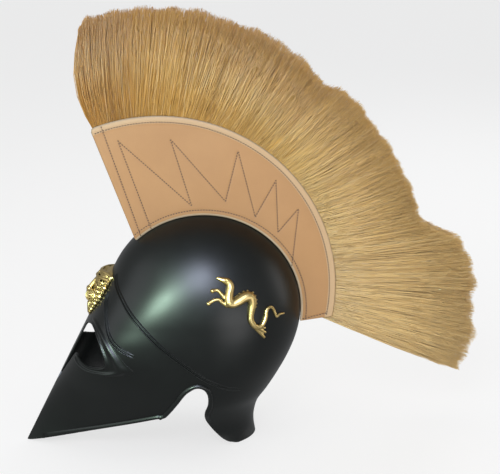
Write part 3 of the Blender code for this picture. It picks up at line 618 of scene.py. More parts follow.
def panel_face(side):
    """A panel as a closed plate whose outer face carries the grooves and the band."""
    columns = round(PANEL_ARC_RADIUS * math.radians(142) / PANEL_GRID / 1.15)
    rows = round((panel_radius(60) - SKULL_RADIUS) / PANEL_GRID / 1.15)
    s = np.linspace(0, 1, columns)[:, None]
    to_end = np.clip(np.minimum(s, 1 - s) * (columns - 1) * PANEL_GRID / PANEL_CORNER, 0, 1)
    pulled_in = 0.03 * (1 - np.sqrt(1 - (1 - to_end) ** 2))
    t = pulled_in + (1 - 2 * pulled_in) * np.linspace(0, 1, rows)[None, :]
    low = on_skull(between(PANEL_FOOT, s), PANEL_SEAT)
    top = between(PANEL_TOP, s)
    high = on_skull(top, panel_radius(top))
    flat = (low * (1 - t[..., None]) + high * t[..., None]).reshape(-1, 2)
    outer, from_arc, groove = panel_surface(flat, seam_paths())
    across, up = (np.arange(n) for n in (columns, rows))
    edge = np.minimum(np.minimum(across, across[::-1])[:, None], np.minimum(up, up[::-1])[None, :])
    outer -= CUT_EDGE_ROUND * np.clip(1 - edge.ravel() / 1.6, 0, 1) ** 2
    from_foot = np.hypot(flat[:, 0] - FACE_REACH, flat[:, 1] - SKULL_HEIGHT) - PANEL_SEAT
    bm = bmesh.new()
    names = ("from_arc", "from_seam", "from_foot", "from_rim")
    layers = [bm.verts.layers.float.new(name) for name in names]
    values = np.stack((from_arc, groove, from_foot, edge.ravel() * PANEL_GRID), -1)
    sheets = []
    for depth in (outer, np.full(len(outer), PANEL_SPACING / 2)):
        made = [bm.verts.new((p[0], side * d, p[1])) for p, d in zip(flat, depth)]
        for vert, row in zip(made, values):
            for layer, value in zip(layers, row):
                vert[layer] = value
        sheets.append([made[i * rows : (i + 1) * rows] for i in range(columns)])
    close_plate(bm, *sheets)
    return bm


# Vegetable-tanned leather, rubbed and oiled: warm tan with cloudy darker patches, a fine
# pebbled grain, darker beside the stitches, and paler on the folded band
leather, tree, shader = surface("vegetable_tanned_leather", Roughness=0.62, IOR=1.45, Sheen_Weight=0.08)
where = node(tree, "ShaderNodeTexCoord")
cloud = node(tree, "ShaderNodeTexNoise", links={"Vector": where.outputs["Object"]}, Scale=9.0,
             Detail=6.0, Roughness=0.62)
tone = node(tree, "ShaderNodeMix", {"data_type": "RGBA"}, {0: cloud.outputs["Fac"]},
            _6=linear("#B48049"), _7=linear("#CD9A60"))
# The band, the leather beside the stitches, the pared foot and a darker grey-brown line along the cut
# rim: where each is full, where it ends, its strength and its colour
for name, full, ends, strength, web in (
        ("from_arc", BAND_WIDTH, BAND_WIDTH + 0.0008, 1.0, "#D3AF82"),
        ("from_seam", 0.0004, 0.0022, 0.22, "#946745"),
        ("from_foot", 0.0022, 0.0034, 0.75, "#D8C8A8"),
        ("from_rim", 0.0001, 0.0012, 0.8, "#8B7A64")):
    away = node(tree, "ShaderNodeAttribute", {"attribute_name": name})
    share = node(tree, "ShaderNodeMapRange", links={"Value": away.outputs["Fac"]},
                 From_Min=full, From_Max=ends, To_Min=strength, To_Max=0.0)
    tone = node(tree, "ShaderNodeMix", {"data_type": "RGBA"},
                {0: share.outputs["Result"], 6: tone.outputs[2]}, _7=linear(web))
tree.links.new(tone.outputs[2], shader.inputs["Base Color"])
# Pores of about 1.2 mm, drawn as coarse as they need to show
pores = node(tree, "ShaderNodeTexVoronoi", {"feature": "SMOOTH_F1"},
             {"Vector": where.outputs["Object"]}, Scale=800.0)
leather_bump = node(tree, "ShaderNodeBump", links={"Height": pores.outputs["Distance"]},
                    Strength=0.25, Distance=0.0003)
tree.links.new(leather_bump.outputs["Normal"], shader.inputs["Normal"])

# Waxed linen thread: grey-brown, matt, sunk in its groove
thread, tree, shader = surface("waxed_linen_thread", Roughness=0.8)
where = node(tree, "ShaderNodeTexCoord")
twist = node(tree, "ShaderNodeTexNoise", links={"Vector": where.outputs["Object"]}, Scale=420.0)
thread_tone = node(tree, "ShaderNodeMix", {"data_type": "RGBA"}, {0: twist.outputs["Fac"]},
                   _6=linear("#54402E"), _7=linear("#7A5C42"))
tree.links.new(thread_tone.outputs[2], shader.inputs["Base Color"])


def open_tree(name, **inputs):
    """A new Geometry Nodes tree with named inputs, and the node that gives them."""
    tree = bpy.data.node_groups.new(name, "GeometryNodeTree")
    for label, kind in {"Geometry": "Geometry", **inputs}.items():
        tree.interface.new_socket(label, in_out="INPUT", socket_type="NodeSocket" + kind)
    tree.interface.new_socket("Geometry", in_out="OUTPUT", socket_type="NodeSocketGeometry")
    return tree, node(tree, "NodeGroupInput")


def close_tree(tree, shape, finish):
    """Ends a tree in real geometry that wears its material."""
    real = node(tree, "GeometryNodeRealizeInstances", links={0: shape})
    dyed = node(tree, "GeometryNodeSetMaterial", links={
        "Geometry": real.outputs["Geometry"], "Material": finish})
    node(tree, "NodeGroupOutput", links={0: dyed.outputs["Geometry"]})
    return tree


def stitching_tree():
    """Geometry Nodes that lay stitches end to end along lines."""
    tree, given = open_tree("machine_stitching", Pitch="Float", Length="Float", Thickness="Float",
                            Thread="Material")
    curves = node(tree, "GeometryNodeMeshToCurve", links={0: given.outputs["Geometry"]})
    spaced = node(tree, "GeometryNodeResampleCurve", {"mode": "LENGTH"},
                  {"Curve": curves.outputs["Curve"], "Length": given.outputs["Pitch"]})
    along = node(tree, "GeometryNodeInputTangent")
    turned = node(tree, "FunctionNodeAlignRotationToVector", {"axis": "X"},
                  {"Vector": along.outputs["Tangent"]})
    bead = node(tree, "GeometryNodeMeshUVSphere", Segments=6, Rings=5, Radius=0.5)
    size = node(tree, "ShaderNodeCombineXYZ", links={
        "X": given.outputs["Length"], "Y": given.outputs["Thickness"], "Z": given.outputs["Thickness"]})
    placed = node(tree, "GeometryNodeInstanceOnPoints", links={
        "Points": spaced.outputs["Curve"], "Instance": bead.outputs["Mesh"],
        "Rotation": turned.outputs["Rotation"], "Scale": size.outputs["Vector"]})
    return close_tree(tree, placed.outputs["Instances"], given.outputs["Thread"])


def set_inputs(piece, tree, **values):
    """Gives a piece a Geometry Nodes modifier, and sets its inputs by their identifiers."""
    modifier = piece.modifiers.new(tree.name, "NODES")
    modifier.node_group = tree
    known = {s.name: s.identifier for s in tree.interface.items_tree if s.in_out == "INPUT"}
    for name, value in values.items():
        modifier[known[name]] = value
    return piece


def seam_lines(side):
    """The stitched lines as bare edges on a panel's outer face."""
    bm = bmesh.new()
    seams = seam_paths()
    for seam in seams:
        path = even(seam, 0.003)
        depth = panel_surface(path, seams)[0] + STITCH_THICKNESS * 0.2
        verts = [bm.verts.new((p[0], side * d, p[1])) for p, d in zip(path, depth)]
        for a, b in zip(verts, verts[1:]):
            bm.edges.new((a, b))
    return bm


stitching = stitching_tree()
for name, side in (("crest_panel_left", -1), ("crest_panel_right", 1)):
    panel = settle(name + "_leather", panel_face(side), leather)
    panel.data.set_sharp_from_angle(angle=math.radians(50))
    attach(panel, "root")
    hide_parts(name)
    sewn = settle(name + "_stitches", seam_lines(side), thread)
    set_inputs(sewn, stitching, Pitch=STITCH_PITCH, Length=STITCH_LENGTH,
               Thickness=STITCH_THICKNESS, Thread=thread)
    keep_result(sewn)
    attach(sewn, "root")
    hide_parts(name)

# The horsehair plume.  Hanks of straight, honey-coloured tail hair are sewn between the panels
# and trimmed to an arc, with longer hanks at the back that sag a little.  Below the loose hair
# the mass of it is one body, and thousands of locks lie over that.
HAIR_LENGTH = 0.1865
HAIR_SPREAD = 0.054
HAIR_FULL = 0.40
HAIR_ROOT = (118.0, -7.5)
HAIR_TIP = (110.6, -17.0)
HairPoint = namedtuple("HairPoint", "sweep length")
HAIR_REACH = [HairPoint(*row) for row in (
    (0.000, 0.656), (0.016, 0.711), (0.100, 0.711), (0.155, 0.718), (0.213, 0.691),
    (0.300, 0.670), (0.346, 0.639), (0.391, 0.582), (0.427, 0.637), (0.533, 0.636),
    (0.600, 0.649), (0.715, 0.677), (0.742, 0.790), (0.772, 0.935), (0.826, 1.005),
    (0.898, 1.030), (0.951, 1.070), (1.000, 1.043),
)]
LOCK_SIDES = 3
LOCK_STEPS = 5
LOCK_RADIUS = 0.00058
LOCK_CLOSING = 56
LOCK_LEAN = 0.008
LOCK_RAGGED = 0.035
LOCK_FLYAWAY = 0.0010
LOCK_SUNK = 0.012
SHORT_LOCKS = 0.12
SHORT_BY = 0.10
LOCK_BOW = 0.0035
LOCK_SAG = 0.006
FRONT_BOW = 0.008
MASS_COLUMNS = 420
MASS_ROWS = 26
MASS_REACH = 0.88
MASS_INSIDE = 0.002
MASS_SUNK = 0.014
MASS_CLOSING = 78
MASS_FURROW = 0.0012
PANEL_CLEAR = 0.0015


def half_thickness(t, root, full, closing):
    """Half the plume's thickness from root to tip, where it closes in by an angle in degrees."""
    swell = np.sin(np.clip(t / HAIR_FULL, 0, 1) * math.pi / 2)
    close = np.cos(np.radians(closing) * np.clip((t - HAIR_FULL) / (1 - HAIR_FULL), 0, 1))
    return (root + (full - root) * swell) * close


def drawn_out(start, end, t):
    """Straight rows of points from starts to ends."""
    return start[:, None, :] * (1 - t[None, :, None]) + end[:, None, :] * t[None, :, None]


def lock_points(rng, count, face):
    """Locks as rows of points: root to tip, spread over the plume's face, edge or middle."""
    sweep = rng.uniform(0, 1, count) if face != "ends" else rng.choice([0.0, 1.0], count)
    sweep = np.clip(sweep + rng.normal(0, 0.004, count), 0, 1)
    spread = rng.uniform(-1, 1, count)
    if face in ("left", "right"):
        spread = (1 if face == "right" else -1) * rng.beta(5, 1.3, count)
    root_sweep = between(HAIR_ROOT, sweep)
    lean = rng.normal(0, LOCK_LEAN, count)
    tip_at = np.clip(sweep + lean, 0, 1)
    ragged = 1 - np.abs(rng.normal(0, LOCK_RAGGED, count))
    ragged = ragged - SHORT_BY * (rng.uniform(0, 1, count) < SHORT_LOCKS)
    hank = 1 + 0.012 * np.sin(tip_at * 150) + 0.010 * np.sin(tip_at * 67 + 2)
    length = HAIR_LENGTH * along_rows(HAIR_REACH, tip_at, "length") * ragged * hank
    arc = panel_radius(root_sweep)
    start = on_skull(root_sweep, arc - LOCK_SUNK)
    end = on_skull(between(HAIR_TIP, tip_at), arc + length)
    t = np.linspace(0, 1, LOCK_STEPS + 1)
    body = drawn_out(start, end, t)
    arch = np.sin(math.pi * t)[None, :]
    bow = rng.normal(0, LOCK_BOW, count)[:, None] * arch
    sag = LOCK_SAG * np.clip(sweep - 0.72, 0, 1)[:, None] / 0.28 * arch
    across = unit(np.stack((-(end - start)[:, 1], (end - start)[:, 0]), -1))
    forward = FRONT_BOW * np.exp(-((sweep / 0.06) ** 2))[:, None] * arch
    body += across[:, None, :] * (bow + sag + forward)[..., None]
    half = half_thickness(t, PANEL_SPACING / 2 - PANEL_CLEAR, HAIR_SPREAD / 2, LOCK_CLOSING)
    fly = rng.normal(0, LOCK_FLYAWAY, count)[:, None] * t[None, :]
    depth = spread[:, None] * half[None, :] + fly
    return np.stack((body[..., 0], depth, body[..., 1]), -1), rng.uniform(0, 1, count), sweep


def lock_lines(name, seed, count, face):
    """The locks' middle lines as bare edges, with a tone and a sweep stored on each."""
    lines, tones, sweeps = lock_points(np.random.default_rng(seed), count, face)
    steps = lines.shape[1]
    mesh = bpy.data.meshes.new(name)
    first = np.arange(count)[:, None] * steps + np.arange(steps - 1)[None, :]
    edges = np.stack((first, first + 1), -1).reshape(-1, 2)
    mesh.from_pydata((lines.reshape(-1, 3) + [CHIN_X, 0, 0]).tolist(), edges.tolist(), [])
    for attribute, values in (("tone", tones), ("sweep", sweeps)):
        layer = mesh.attributes.new(attribute, "FLOAT", "POINT")
        layer.data.foreach_set("value", np.repeat(values, steps).astype(np.float32))
    return put(name, mesh)


def combing_tree():
    """Geometry Nodes that turn each line into a tapering lock."""
    tree, given = open_tree("combed_locks", Radius="Float", Sides="Int", Hair="Material")
    curves = node(tree, "GeometryNodeMeshToCurve", links={0: given.outputs["Geometry"]})
    along = node(tree, "GeometryNodeSplineParameter")
    taper = node(tree, "ShaderNodeMapRange", {"interpolation_type": "SMOOTHSTEP"},
                 {"Value": along.outputs["Factor"]}, From_Min=0.60, From_Max=1.0, To_Min=1.0,
                 To_Max=0.30)
    stored = node(tree, "GeometryNodeStoreNamedAttribute", {"data_type": "FLOAT", "domain": "POINT"},
                  {"Geometry": curves.outputs["Curve"], "Value": along.outputs["Factor"]},
                  Name="along")
    thick = node(tree, "GeometryNodeSetCurveRadius", links={
        "Curve": stored.outputs["Geometry"], "Radius": taper.outputs["Result"]})
    ring = node(tree, "GeometryNodeCurvePrimitiveCircle", links={
        "Resolution": given.outputs["Sides"], "Radius": given.outputs["Radius"]})
    tubes = node(tree, "GeometryNodeCurveToMesh", links={
        "Curve": thick.outputs["Curve"], "Profile Curve": ring.outputs["Curve"],
        "Scale": taper.outputs["Result"]}, Fill_Caps=True)
    return close_tree(tree, tubes.outputs["Mesh"], given.outputs["Hair"])


def plume_body():
    """The mass of hair under the loose locks, as one closed body with combed furrows."""
    sweep = np.linspace(0.004, 0.996, MASS_COLUMNS)
    root_sweep = between(HAIR_ROOT, sweep)
    arc = panel_radius(root_sweep)
    length = HAIR_LENGTH * along_rows(HAIR_REACH, sweep, "length") * MASS_REACH
    rng = np.random.default_rng(7)
    furrow = np.convolve(rng.normal(0, 1, MASS_COLUMNS + 8), np.ones(3) / 3, "same")[4:-4]
    start = on_skull(root_sweep, arc - MASS_SUNK)
    end = on_skull(between(HAIR_TIP, sweep), arc + length + MASS_FURROW * furrow)
    t = np.linspace(0, 1, MASS_ROWS)
    flat = drawn_out(start, end, t)
    half = half_thickness(t, PANEL_SPACING / 2 - MASS_INSIDE, HAIR_SPREAD / 2 - MASS_INSIDE,
                          MASS_CLOSING)
    depth = half[None, :] * (0.93 + 0.05 * furrow[:, None] * np.minimum(1, 4 * t)[None, :])
    bm = bmesh.new()
    layers = [bm.verts.layers.float.new(name) for name in ("along", "tone", "sweep")]
    sides = []
    for side in (-1, 1):
        made = []
        for i in range(MASS_COLUMNS):
            column = []
            for k in range(MASS_ROWS):
                vert = bm.verts.new((flat[i, k, 0], side * depth[i, k], flat[i, k, 1]))
                # Painted shade: the mass below the locks gets darker tones, so the gaps between the
                # locks look shaded
                for layer, value in zip(layers, (t[k], 0.35 + 0.2 * furrow[i], sweep[i])):
                    vert[layer] = value
                column.append(vert)
            made.append(column)
        sides.append(made)
    close_plate(bm, *sides)
    return bm


# Horsehair: straight, glossy and semi-clear, each lock its own shade between pale straw and
# brown honey, with painted shade on the mass between the locks and towards the sewn roots
hair, tree, shader = surface("horsehair", Roughness=0.45, Anisotropic=0.4, Sheen_Weight=0.15)
shade = node(tree, "ShaderNodeAttribute", {"attribute_name": "tone"})
lock_tone = node(tree, "ShaderNodeValToRGB", links={"Fac": shade.outputs["Fac"]})
stops = lock_tone.color_ramp.elements
stops[0].position, stops[0].color = 0.0, linear("#A5732A")
stops[1].position, stops[1].color = 1.0, linear("#F2DAA6")
for position, web in ((0.25, "#C7963E"), (0.6, "#D9AA52"), (0.85, "#E4BD70")):
    stops.new(position).color = linear(web)
# Golden in front and paler towards the back, where it has been handled and sun-bleached
far_back = node(tree, "ShaderNodeAttribute", {"attribute_name": "sweep"})
bleached = node(tree, "ShaderNodeValToRGB", links={"Fac": far_back.outputs["Fac"]})
ends = bleached.color_ramp.elements
ends[0].position, ends[0].color = 0.0, linear("#CB912E")
ends[1].position, ends[1].color = 1.0, linear("#FAE0A2")
ends.new(0.45).color = linear("#E2B754")
mixed_tone = node(tree, "ShaderNodeMix", {"data_type": "RGBA"},
                  {6: lock_tone.outputs["Color"], 7: bleached.outputs["Color"]}, _0=0.6)
along = node(tree, "ShaderNodeAttribute", {"attribute_name": "along"})
# Painted shade: darker towards the roots, where the hair goes in between the panels
root_shade = node(tree, "ShaderNodeMapRange", links={"Value": along.outputs["Fac"]},
              From_Min=0.05, From_Max=0.30, To_Min=0.16, To_Max=0.0)
shaded_root_tone = node(tree, "ShaderNodeMix", {"data_type": "RGBA"},
                 {0: root_shade.outputs["Result"], 6: mixed_tone.outputs[2]}, _7=linear("#8A6431"))
tree.links.new(shaded_root_tone.outputs[2], shader.inputs["Base Color"])

mass = settle("plume_mass", plume_body(), hair)
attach(mass, "root")
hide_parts("crest_plume")

combing = combing_tree()
Hank = namedtuple("Hank", "name seed count face")
HANKS = (
    Hank("plume_hair_left", 11, 5600, "left"),
    Hank("plume_hair_right", 12, 5400, "right"),
    Hank("plume_hair_middle", 13, 6200, "all"),
    Hank("plume_hair_ends", 14, 800, "ends"),
)
for hank in HANKS:
    locks = lock_lines(hank.name, hank.seed, hank.count, hank.face)
    set_inputs(locks, combing, Radius=LOCK_RADIUS, Sides=LOCK_SIDES, Hair=hair)
    keep_result(locks)
    locks.data.shade_smooth()
    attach(locks, "root")
    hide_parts("crest_plume")

# The cast ornaments.  A lion mask sits on the brow, and a sea dragon on each temple.  They are
# sand-cast brass, darkened all over and then polished back on the high spots.
MASK_HEIGHT = 0.074
MASK_TOP = 0.247
DRAGON_LENGTH = 0.100
DRAGON_BEHIND = 0.057
DRAGON_ABOVE = 0.022
SUNK = 0.0003
MASK_GRAIN = 0.0005
DRAGON_GRAIN = 0.0004

# The mask's body, from chin to crown, and its modelling: millimetres across, up and out of the
# face line, and half sizes the same way.  What stands to one side is made on both.
MaskRow = namedtuple("MaskRow", "up half rise")
MASK_BODY = [MaskRow(*row) for row in (
    (-37.5, 2.5, 2.0), (-33.0, 7.0, 4.0), (-27.0, 12.0, 5.5), (-20.0, 17.5, 8.0),
    (-12.0, 22.5, 11.0), (-4.0, 25.5, 12.0), (4.0, 26.5, 11.5), (12.0, 27.0, 10.5),
    (20.0, 27.0, 9.5), (27.0, 26.0, 8.5), (32.0, 24.0, 6.0), (35.5, 19.0, 3.0),
)]
Lump = namedtuple("Lump", "across up out wide tall deep")
MASK_LUMPS = [Lump(*row) for row in (
    (0.0, 24.5, 8.0, 19.0, 5.5, 5.0), (11.0, 27.5, 4.5, 11.0, 5.0, 5.5),
    (0.0, 24.6, 13.0, 3.6, 3.2, 3.0), (25.6, 28.5, 1.8, 3.2, 4.4, 3.4),
    (0.0, 10.0, 6.0, 14.0, 9.0, 8.5), (9.6, 8.4, 10.8, 3.4, 2.3, 2.2),
    (0.0, -3.0, 16.6, 5.6, 4.3, 4.2), (4.2, -4.8, 15.8, 2.6, 2.3, 2.6),
    (6.5, -10.0, 8.0, 7.0, 7.5, 6.5), (9.3, -7.5, 9.3, 6.4, 6.6, 6.4),
    (4.0, -13.5, 11.5, 5.0, 4.6, 4.6), (0.0, -21.0, 6.2, 7.0, 4.0, 4.4),
    (13.8, -7.5, 14.2, 2.1, 2.1, 2.1),
)]
Rod = namedtuple("Rod", "thick points")
MASK_RODS = (
    Rod(2.2, ((-26.5, 31, 0.8), (-18, 31, 6), (-10, 29.2, 10.5), (0, 28.2, 13), (10, 29.2, 10.5),
              (18, 31, 6), (26.5, 31, 0.8))),
    Rod(2.1, ((-26.5, 26, 1.5), (-19, 22.6, 8), (-10, 20.6, 13), (0, 19.8, 15.4), (10, 20.6, 13),
              (19, 22.6, 8), (26.5, 26, 1.5))),
    Rod(1.4, ((5, 24.8, 13.2), (10, 25.2, 11.6), (15, 26.4, 9))),
    Rod(2.1, ((3, 15.2, 13.6), (8, 16.2, 12.8), (14, 14.8, 10.2), (18.5, 10.8, 7.2))),
    Rod(1.6, ((8, 20, 12.2), (14, 17.4, 10.6), (19, 14, 8.0))),
    Rod(0.8, ((5.2, 8.6, 12.4), (9.5, 11.4, 12.2), (14, 8.4, 9.8))),
    Rod(0.8, ((5.2, 8.2, 12.4), (9.5, 5.8, 11.8), (14, 7.6, 9.6))),
    Rod(3.6, ((0, 14, 12.5), (0, 8, 14), (0, 2, 15.4), (0, -3, 16.2))),
    Rod(0.9, ((1.2, -22, 10), (1.8, -28, 7.2), (1.2, -35, 3.6))),
    Rod(0.9, ((3.6, -22, 9.6), (4.4, -27, 6.8), (3.4, -33, 3.8))),
    Rod(0.9, ((6.2, -20, 9), (7.4, -25, 6.4), (6.2, -30, 4.2))),
)
# Locks of the mane, as curls: across, up, out and radius
Curl = namedtuple("Curl", "across up out size")
MASK_CURLS = [Curl(*row) for row in (
    (25.4, 20.0, 4.4, 3.8), (26.4, 13.0, 4.6, 3.8), (26.2, 6.0, 4.6, 3.8), (24.8, -1.0, 4.6, 3.8),
    (21.8, -7.8, 4.6, 3.7), (18.2, -14.2, 4.4, 3.6), (14.2, -20.2, 4.0, 3.4),
    (10.2, -25.8, 3.4, 3.2), (6.2, -31.2, 2.8, 3.0), (19.4, 16.6, 7.6, 3.2),
    (20.0, 9.6, 7.8, 3.2), (19.4, 2.8, 8.0, 3.2), (15.0, -16.6, 6.8, 3.0),
)]
WHISKER_PAD = (12.8, -7.5, 12.8)
# Rings of the whisker pad: radius, thickness, and how far they stand off its face
WHISKER_RINGS = ((7.2, 1.1, 0.0), (7.0, 1.8, -2.0), (6.2, 2.6, -4.5), (4.3, 0.9, 0.2))

# A dragon: places as shares of its length, and half its thickness the same way
Stroke = namedtuple("Stroke", "along up thick")
DRAGON_BODY = [Stroke(*row) for row in (
    (-0.360, 0.435, 0.019), (-0.340, 0.43, 0.025), (-0.31, 0.415, 0.032), (-0.27, 0.40, 0.041),
    (-0.23, 0.38, 0.045), (-0.20, 0.34, 0.044), (-0.20, 0.30, 0.048), (-0.22, 0.24, 0.054),
    (-0.23, 0.18, 0.058), (-0.22, 0.12, 0.062), (-0.17, 0.105, 0.060), (-0.10, 0.13, 0.064),
    (-0.03, 0.165, 0.068), (0.03, 0.165, 0.068), (0.065, 0.125, 0.062), (0.075, 0.06, 0.054),
    (0.06, -0.02, 0.044), (0.05, -0.09, 0.040), (0.05, -0.15, 0.040), (0.08, -0.22, 0.039),
    (0.12, -0.26, 0.035), (0.18, -0.26, 0.032), (0.22, -0.22, 0.030), (0.25, -0.15, 0.027),
    (0.26, -0.08, 0.025), (0.29, -0.04, 0.021), (0.33, -0.04, 0.020), (0.36, -0.08, 0.019),
    (0.38, -0.14, 0.018), (0.40, -0.19, 0.017), (0.44, -0.17, 0.016), (0.50, -0.18, 0.012),
)]
DRAGON_LEGS = [[Stroke(*row) for row in leg] for leg in (
    ((-0.435, 0.285, 0.029), (-0.40, 0.292, 0.022), (-0.36, 0.285, 0.022),
     (-0.325, 0.245, 0.024), (-0.28, 0.19, 0.028), (-0.24, 0.14, 0.032)),
    ((-0.49, 0.130, 0.030), (-0.46, 0.150, 0.024), (-0.41, 0.170, 0.022),
     (-0.355, 0.168, 0.023), (-0.31, 0.130, 0.027), (-0.25, 0.090, 0.034)),
)]
# The fin's rays, from their root to their tips, with the three long ones between shorter webs
FIN_ROOT = Stroke(0.07, -0.225, 0.024)
FIN_TIPS = [Stroke(*row) for row in (
    (0.230, -0.300, 0.018), (0.205, -0.322, 0.015), (0.215, -0.342, 0.015),
    (0.235, -0.362, 0.018), (0.205, -0.380, 0.015), (0.210, -0.402, 0.015),
    (0.220, -0.430, 0.018),
)]
NECK_LENGTH = 0.030
BELLY_PITCH = 0.0025
BELLY_RIDGE = 0.0011
SCALE_PITCH = 0.0034
SCALE_DEPTH = 0.00035
BEADS_FROM = 0.050
BEADS_TO = 0.085
BEAD_PITCH = 0.0034
BEAD_RADIUS = 0.0015


def blob(bm, middle, radii):
    """Adds a rounded lump of wax, stretched to three radii."""
    for vert in bmesh.ops.create_icosphere(bm, subdivisions=3, radius=1.0)["verts"]:
        vert.co = Vector(middle) + Vector(a * b for a, b in zip(vert.co, radii))


def wax_rod(bm, path, radii, out, carved=None, sides=14):
    """Adds a smooth rod of wax with rounded ends along a path.  Out points off the backing, and
    carved gives what modelling adds to the radius at walked lengths and turns."""
    path = np.array(path, float)
    radii = np.array(np.broadcast_to(radii, len(path)), float)
    along = unit(np.gradient(path, axis=0))
    across = unit(np.cross(np.broadcast_to(out, path.shape), along))
    lift = np.cross(along, across)
    walked = lengths_along(path)
    turn = np.arange(sides) * 2 * math.pi / sides
    size = np.repeat(radii[:, None], sides, 1)
    if carved is not None:
        size = size + carved(walked[:, None], turn[None, :])
    caps = np.radians((78, 52, 26))
    picks = [0] * 3 + list(range(len(path))) + [len(path) - 1] * 3
    shift = np.concatenate((-np.sin(caps), np.zeros(len(path)), np.sin(caps[::-1])))
    shrink = np.concatenate((np.cos(caps), np.ones(len(path)), np.cos(caps[::-1])))
    middles = path[picks] + along[picks] * (shift * radii[picks])[:, None]
    rims = np.cos(turn)[None, :, None] * across[picks][:, None]
    rims = rims + np.sin(turn)[None, :, None] * lift[picks][:, None]
    places = middles[:, None] + rims * (size[picks] * shrink[:, None])[..., None]
    rings = [[bm.verts.new(p) for p in ring] for ring in places]
    bridge(bm, rings)
    bm.faces.new(rings[0][::-1])
    bm.faces.new(rings[-1])


def cast(name, wax, voxel):
    """Fuses the wax into one closed casting."""
    bmesh.ops.recalc_face_normals(wax, faces=wax.faces)
    piece = settle(name, wax, brass)
    remesh = piece.modifiers.new("one_casting", "REMESH")
    remesh.mode = "VOXEL"
    remesh.voxel_size = voxel
    soften = piece.modifiers.new("poured", "SMOOTH")
    soften.factor = 0.5
    soften.iterations = 1
    keep_result(piece)
    if not piece.data.materials:
        piece.data.materials.append(brass)
    piece.data.shade_smooth()
    return piece


# Sand-cast brass, patinated and rubbed back: dull old gold on the high spots, brown-black in
# the hollows, which ambient occlusion finds, and a slightly pitted cast skin
brass, tree, shader = surface("patinated_cast_brass", Metallic=1.0)
hollow = node(tree, "ShaderNodeAmbientOcclusion", {"samples": 8, "only_local": True},
              Distance=0.0035)
rubbed = node(tree, "ShaderNodeMapRange", links={"Value": hollow.outputs["AO"]},
              From_Min=0.40, From_Max=0.85)
where = node(tree, "ShaderNodeTexCoord")
mottle = node(tree, "ShaderNodeTexNoise", links={"Vector": where.outputs["Object"]}, Scale=180.0,
              Detail=4.0)
metal_tone = node(tree, "ShaderNodeMix", {"data_type": "RGBA"}, {0: mottle.outputs["Fac"]},
                  _6=linear("#A98C50"), _7=linear("#D6C088"))
brass_tone = node(tree, "ShaderNodeMix", {"data_type": "RGBA"},
                  {0: rubbed.outputs["Result"], 7: metal_tone.outputs[2]}, _6=linear("#2A2213"))
tree.links.new(brass_tone.outputs[2], shader.inputs["Base Color"])
brass_gloss = node(tree, "ShaderNodeMapRange", links={"Value": rubbed.outputs["Result"]},
                   To_Min=0.60, To_Max=0.33)
tree.links.new(brass_gloss.outputs["Result"], shader.inputs["Roughness"])
pits = node(tree, "ShaderNodeBump", links={"Height": mottle.outputs["Fac"]}, Strength=0.2,
            Distance=0.0003)
tree.links.new(pits.outputs["Normal"], shader.inputs["Normal"])


def lion_wax():
    """The lion mask in wax, modelled flat in millimetres, then bent over the brow."""
    bm = bmesh.new()
    rows = np.linspace(MASK_BODY[0].up, MASK_BODY[-1].up, 30)
    turn = np.linspace(0, math.pi, 25)
    rings = []
    halves, rises = (along_rows(MASK_BODY, rows, column) for column in ("half", "rise"))
    for up, half, rise in zip(rows, halves, rises):
        bow = [(-half * math.cos(a), up, rise * math.sin(a) ** 1.3) for a in turn]
        rings.append([bm.verts.new(place) for place in bow])
    bridge(bm, rings)
    bm.faces.new(rings[0])
    bm.faces.new(rings[-1])
    for lump in MASK_LUMPS:
        for side in (1, -1) if lump.across else (1,):
            blob(bm, (side * lump.across, lump.up, lump.out), lump[3:])
    for rod in MASK_RODS:
        for side in (1, -1) if rod.points[0][0] > 0 else (1,):
            fine = smooth_path(np.array(rod.points, float) * (side, 1, 1), 5)
            wax_rod(bm, fine, rod.thick, (0, 0, 1))
    for side in (1, -1):
        for number, lock in enumerate(MASK_CURLS):
            hand = side * (-1) ** number
            middle = (side * lock.across, lock.up, lock.out * 0.6)
            blob(bm, middle, (lock.size, lock.size, lock.out * 0.8))
            turn = np.linspace(0, math.radians(470), 26)
            reach = lock.size * np.linspace(0.98, 0.16, 26)
            height = np.linspace(lock.out * 0.9, lock.out * 1.5, 26)
            spiral = np.stack((side * lock.across + hand * reach * np.cos(turn),
                               lock.up + reach * np.sin(turn), height), -1)
            wax_rod(bm, spiral, lock.size * 0.21, (0, 0, 1), sides=8)
        ring = np.radians(np.linspace(0, 372, 40))
        facing = np.array((side * 0.7, 0.0, 0.714))
        level = np.array((side * 0.714, 0.0, -0.7))
        for reach, thick, off in WHISKER_RINGS:
            loop = (np.array(WHISKER_PAD) * (side, 1, 1) + facing * off
                    + reach * np.cos(ring)[:, None] * level
                    + reach * np.sin(ring)[:, None] * np.array((0.0, 1.0, 0.0)))
            wax_rod(bm, loop, thick, facing, sides=8)
    far = math.hypot(FACE_REACH, SKULL_HEIGHT)
    slope = math.atan2(SKULL_HEIGHT, FACE_REACH) + math.asin(SKULL_RADIUS / far)
    up = np.array((math.cos(slope), 0, math.sin(slope)))
    out = np.array((-up[2], 0, up[0]))
    middle = np.array((MASK_TOP / math.tan(slope), 0, MASK_TOP)) - up * MASK_HEIGHT / 2
    flat = np.array([v.co for v in bm.verts]) * 0.001
    foot = middle + up * flat[:, 1:2]
    set_back = front_x(flat[:, 0], foot[:, 2]) - front_x(np.zeros(len(flat)), foot[:, 2])
    places = foot + out * flat[:, 2:3]
    places[:, 0] += set_back
    places[:, 1] -= flat[:, 0]
    skin = front_x(places[:, 1], places[:, 2]) + SUNK
    places[:, 0] = np.minimum(places[:, 0], skin)
    for vert, place in zip(bm.verts, places):
        vert.co = place
    return bm


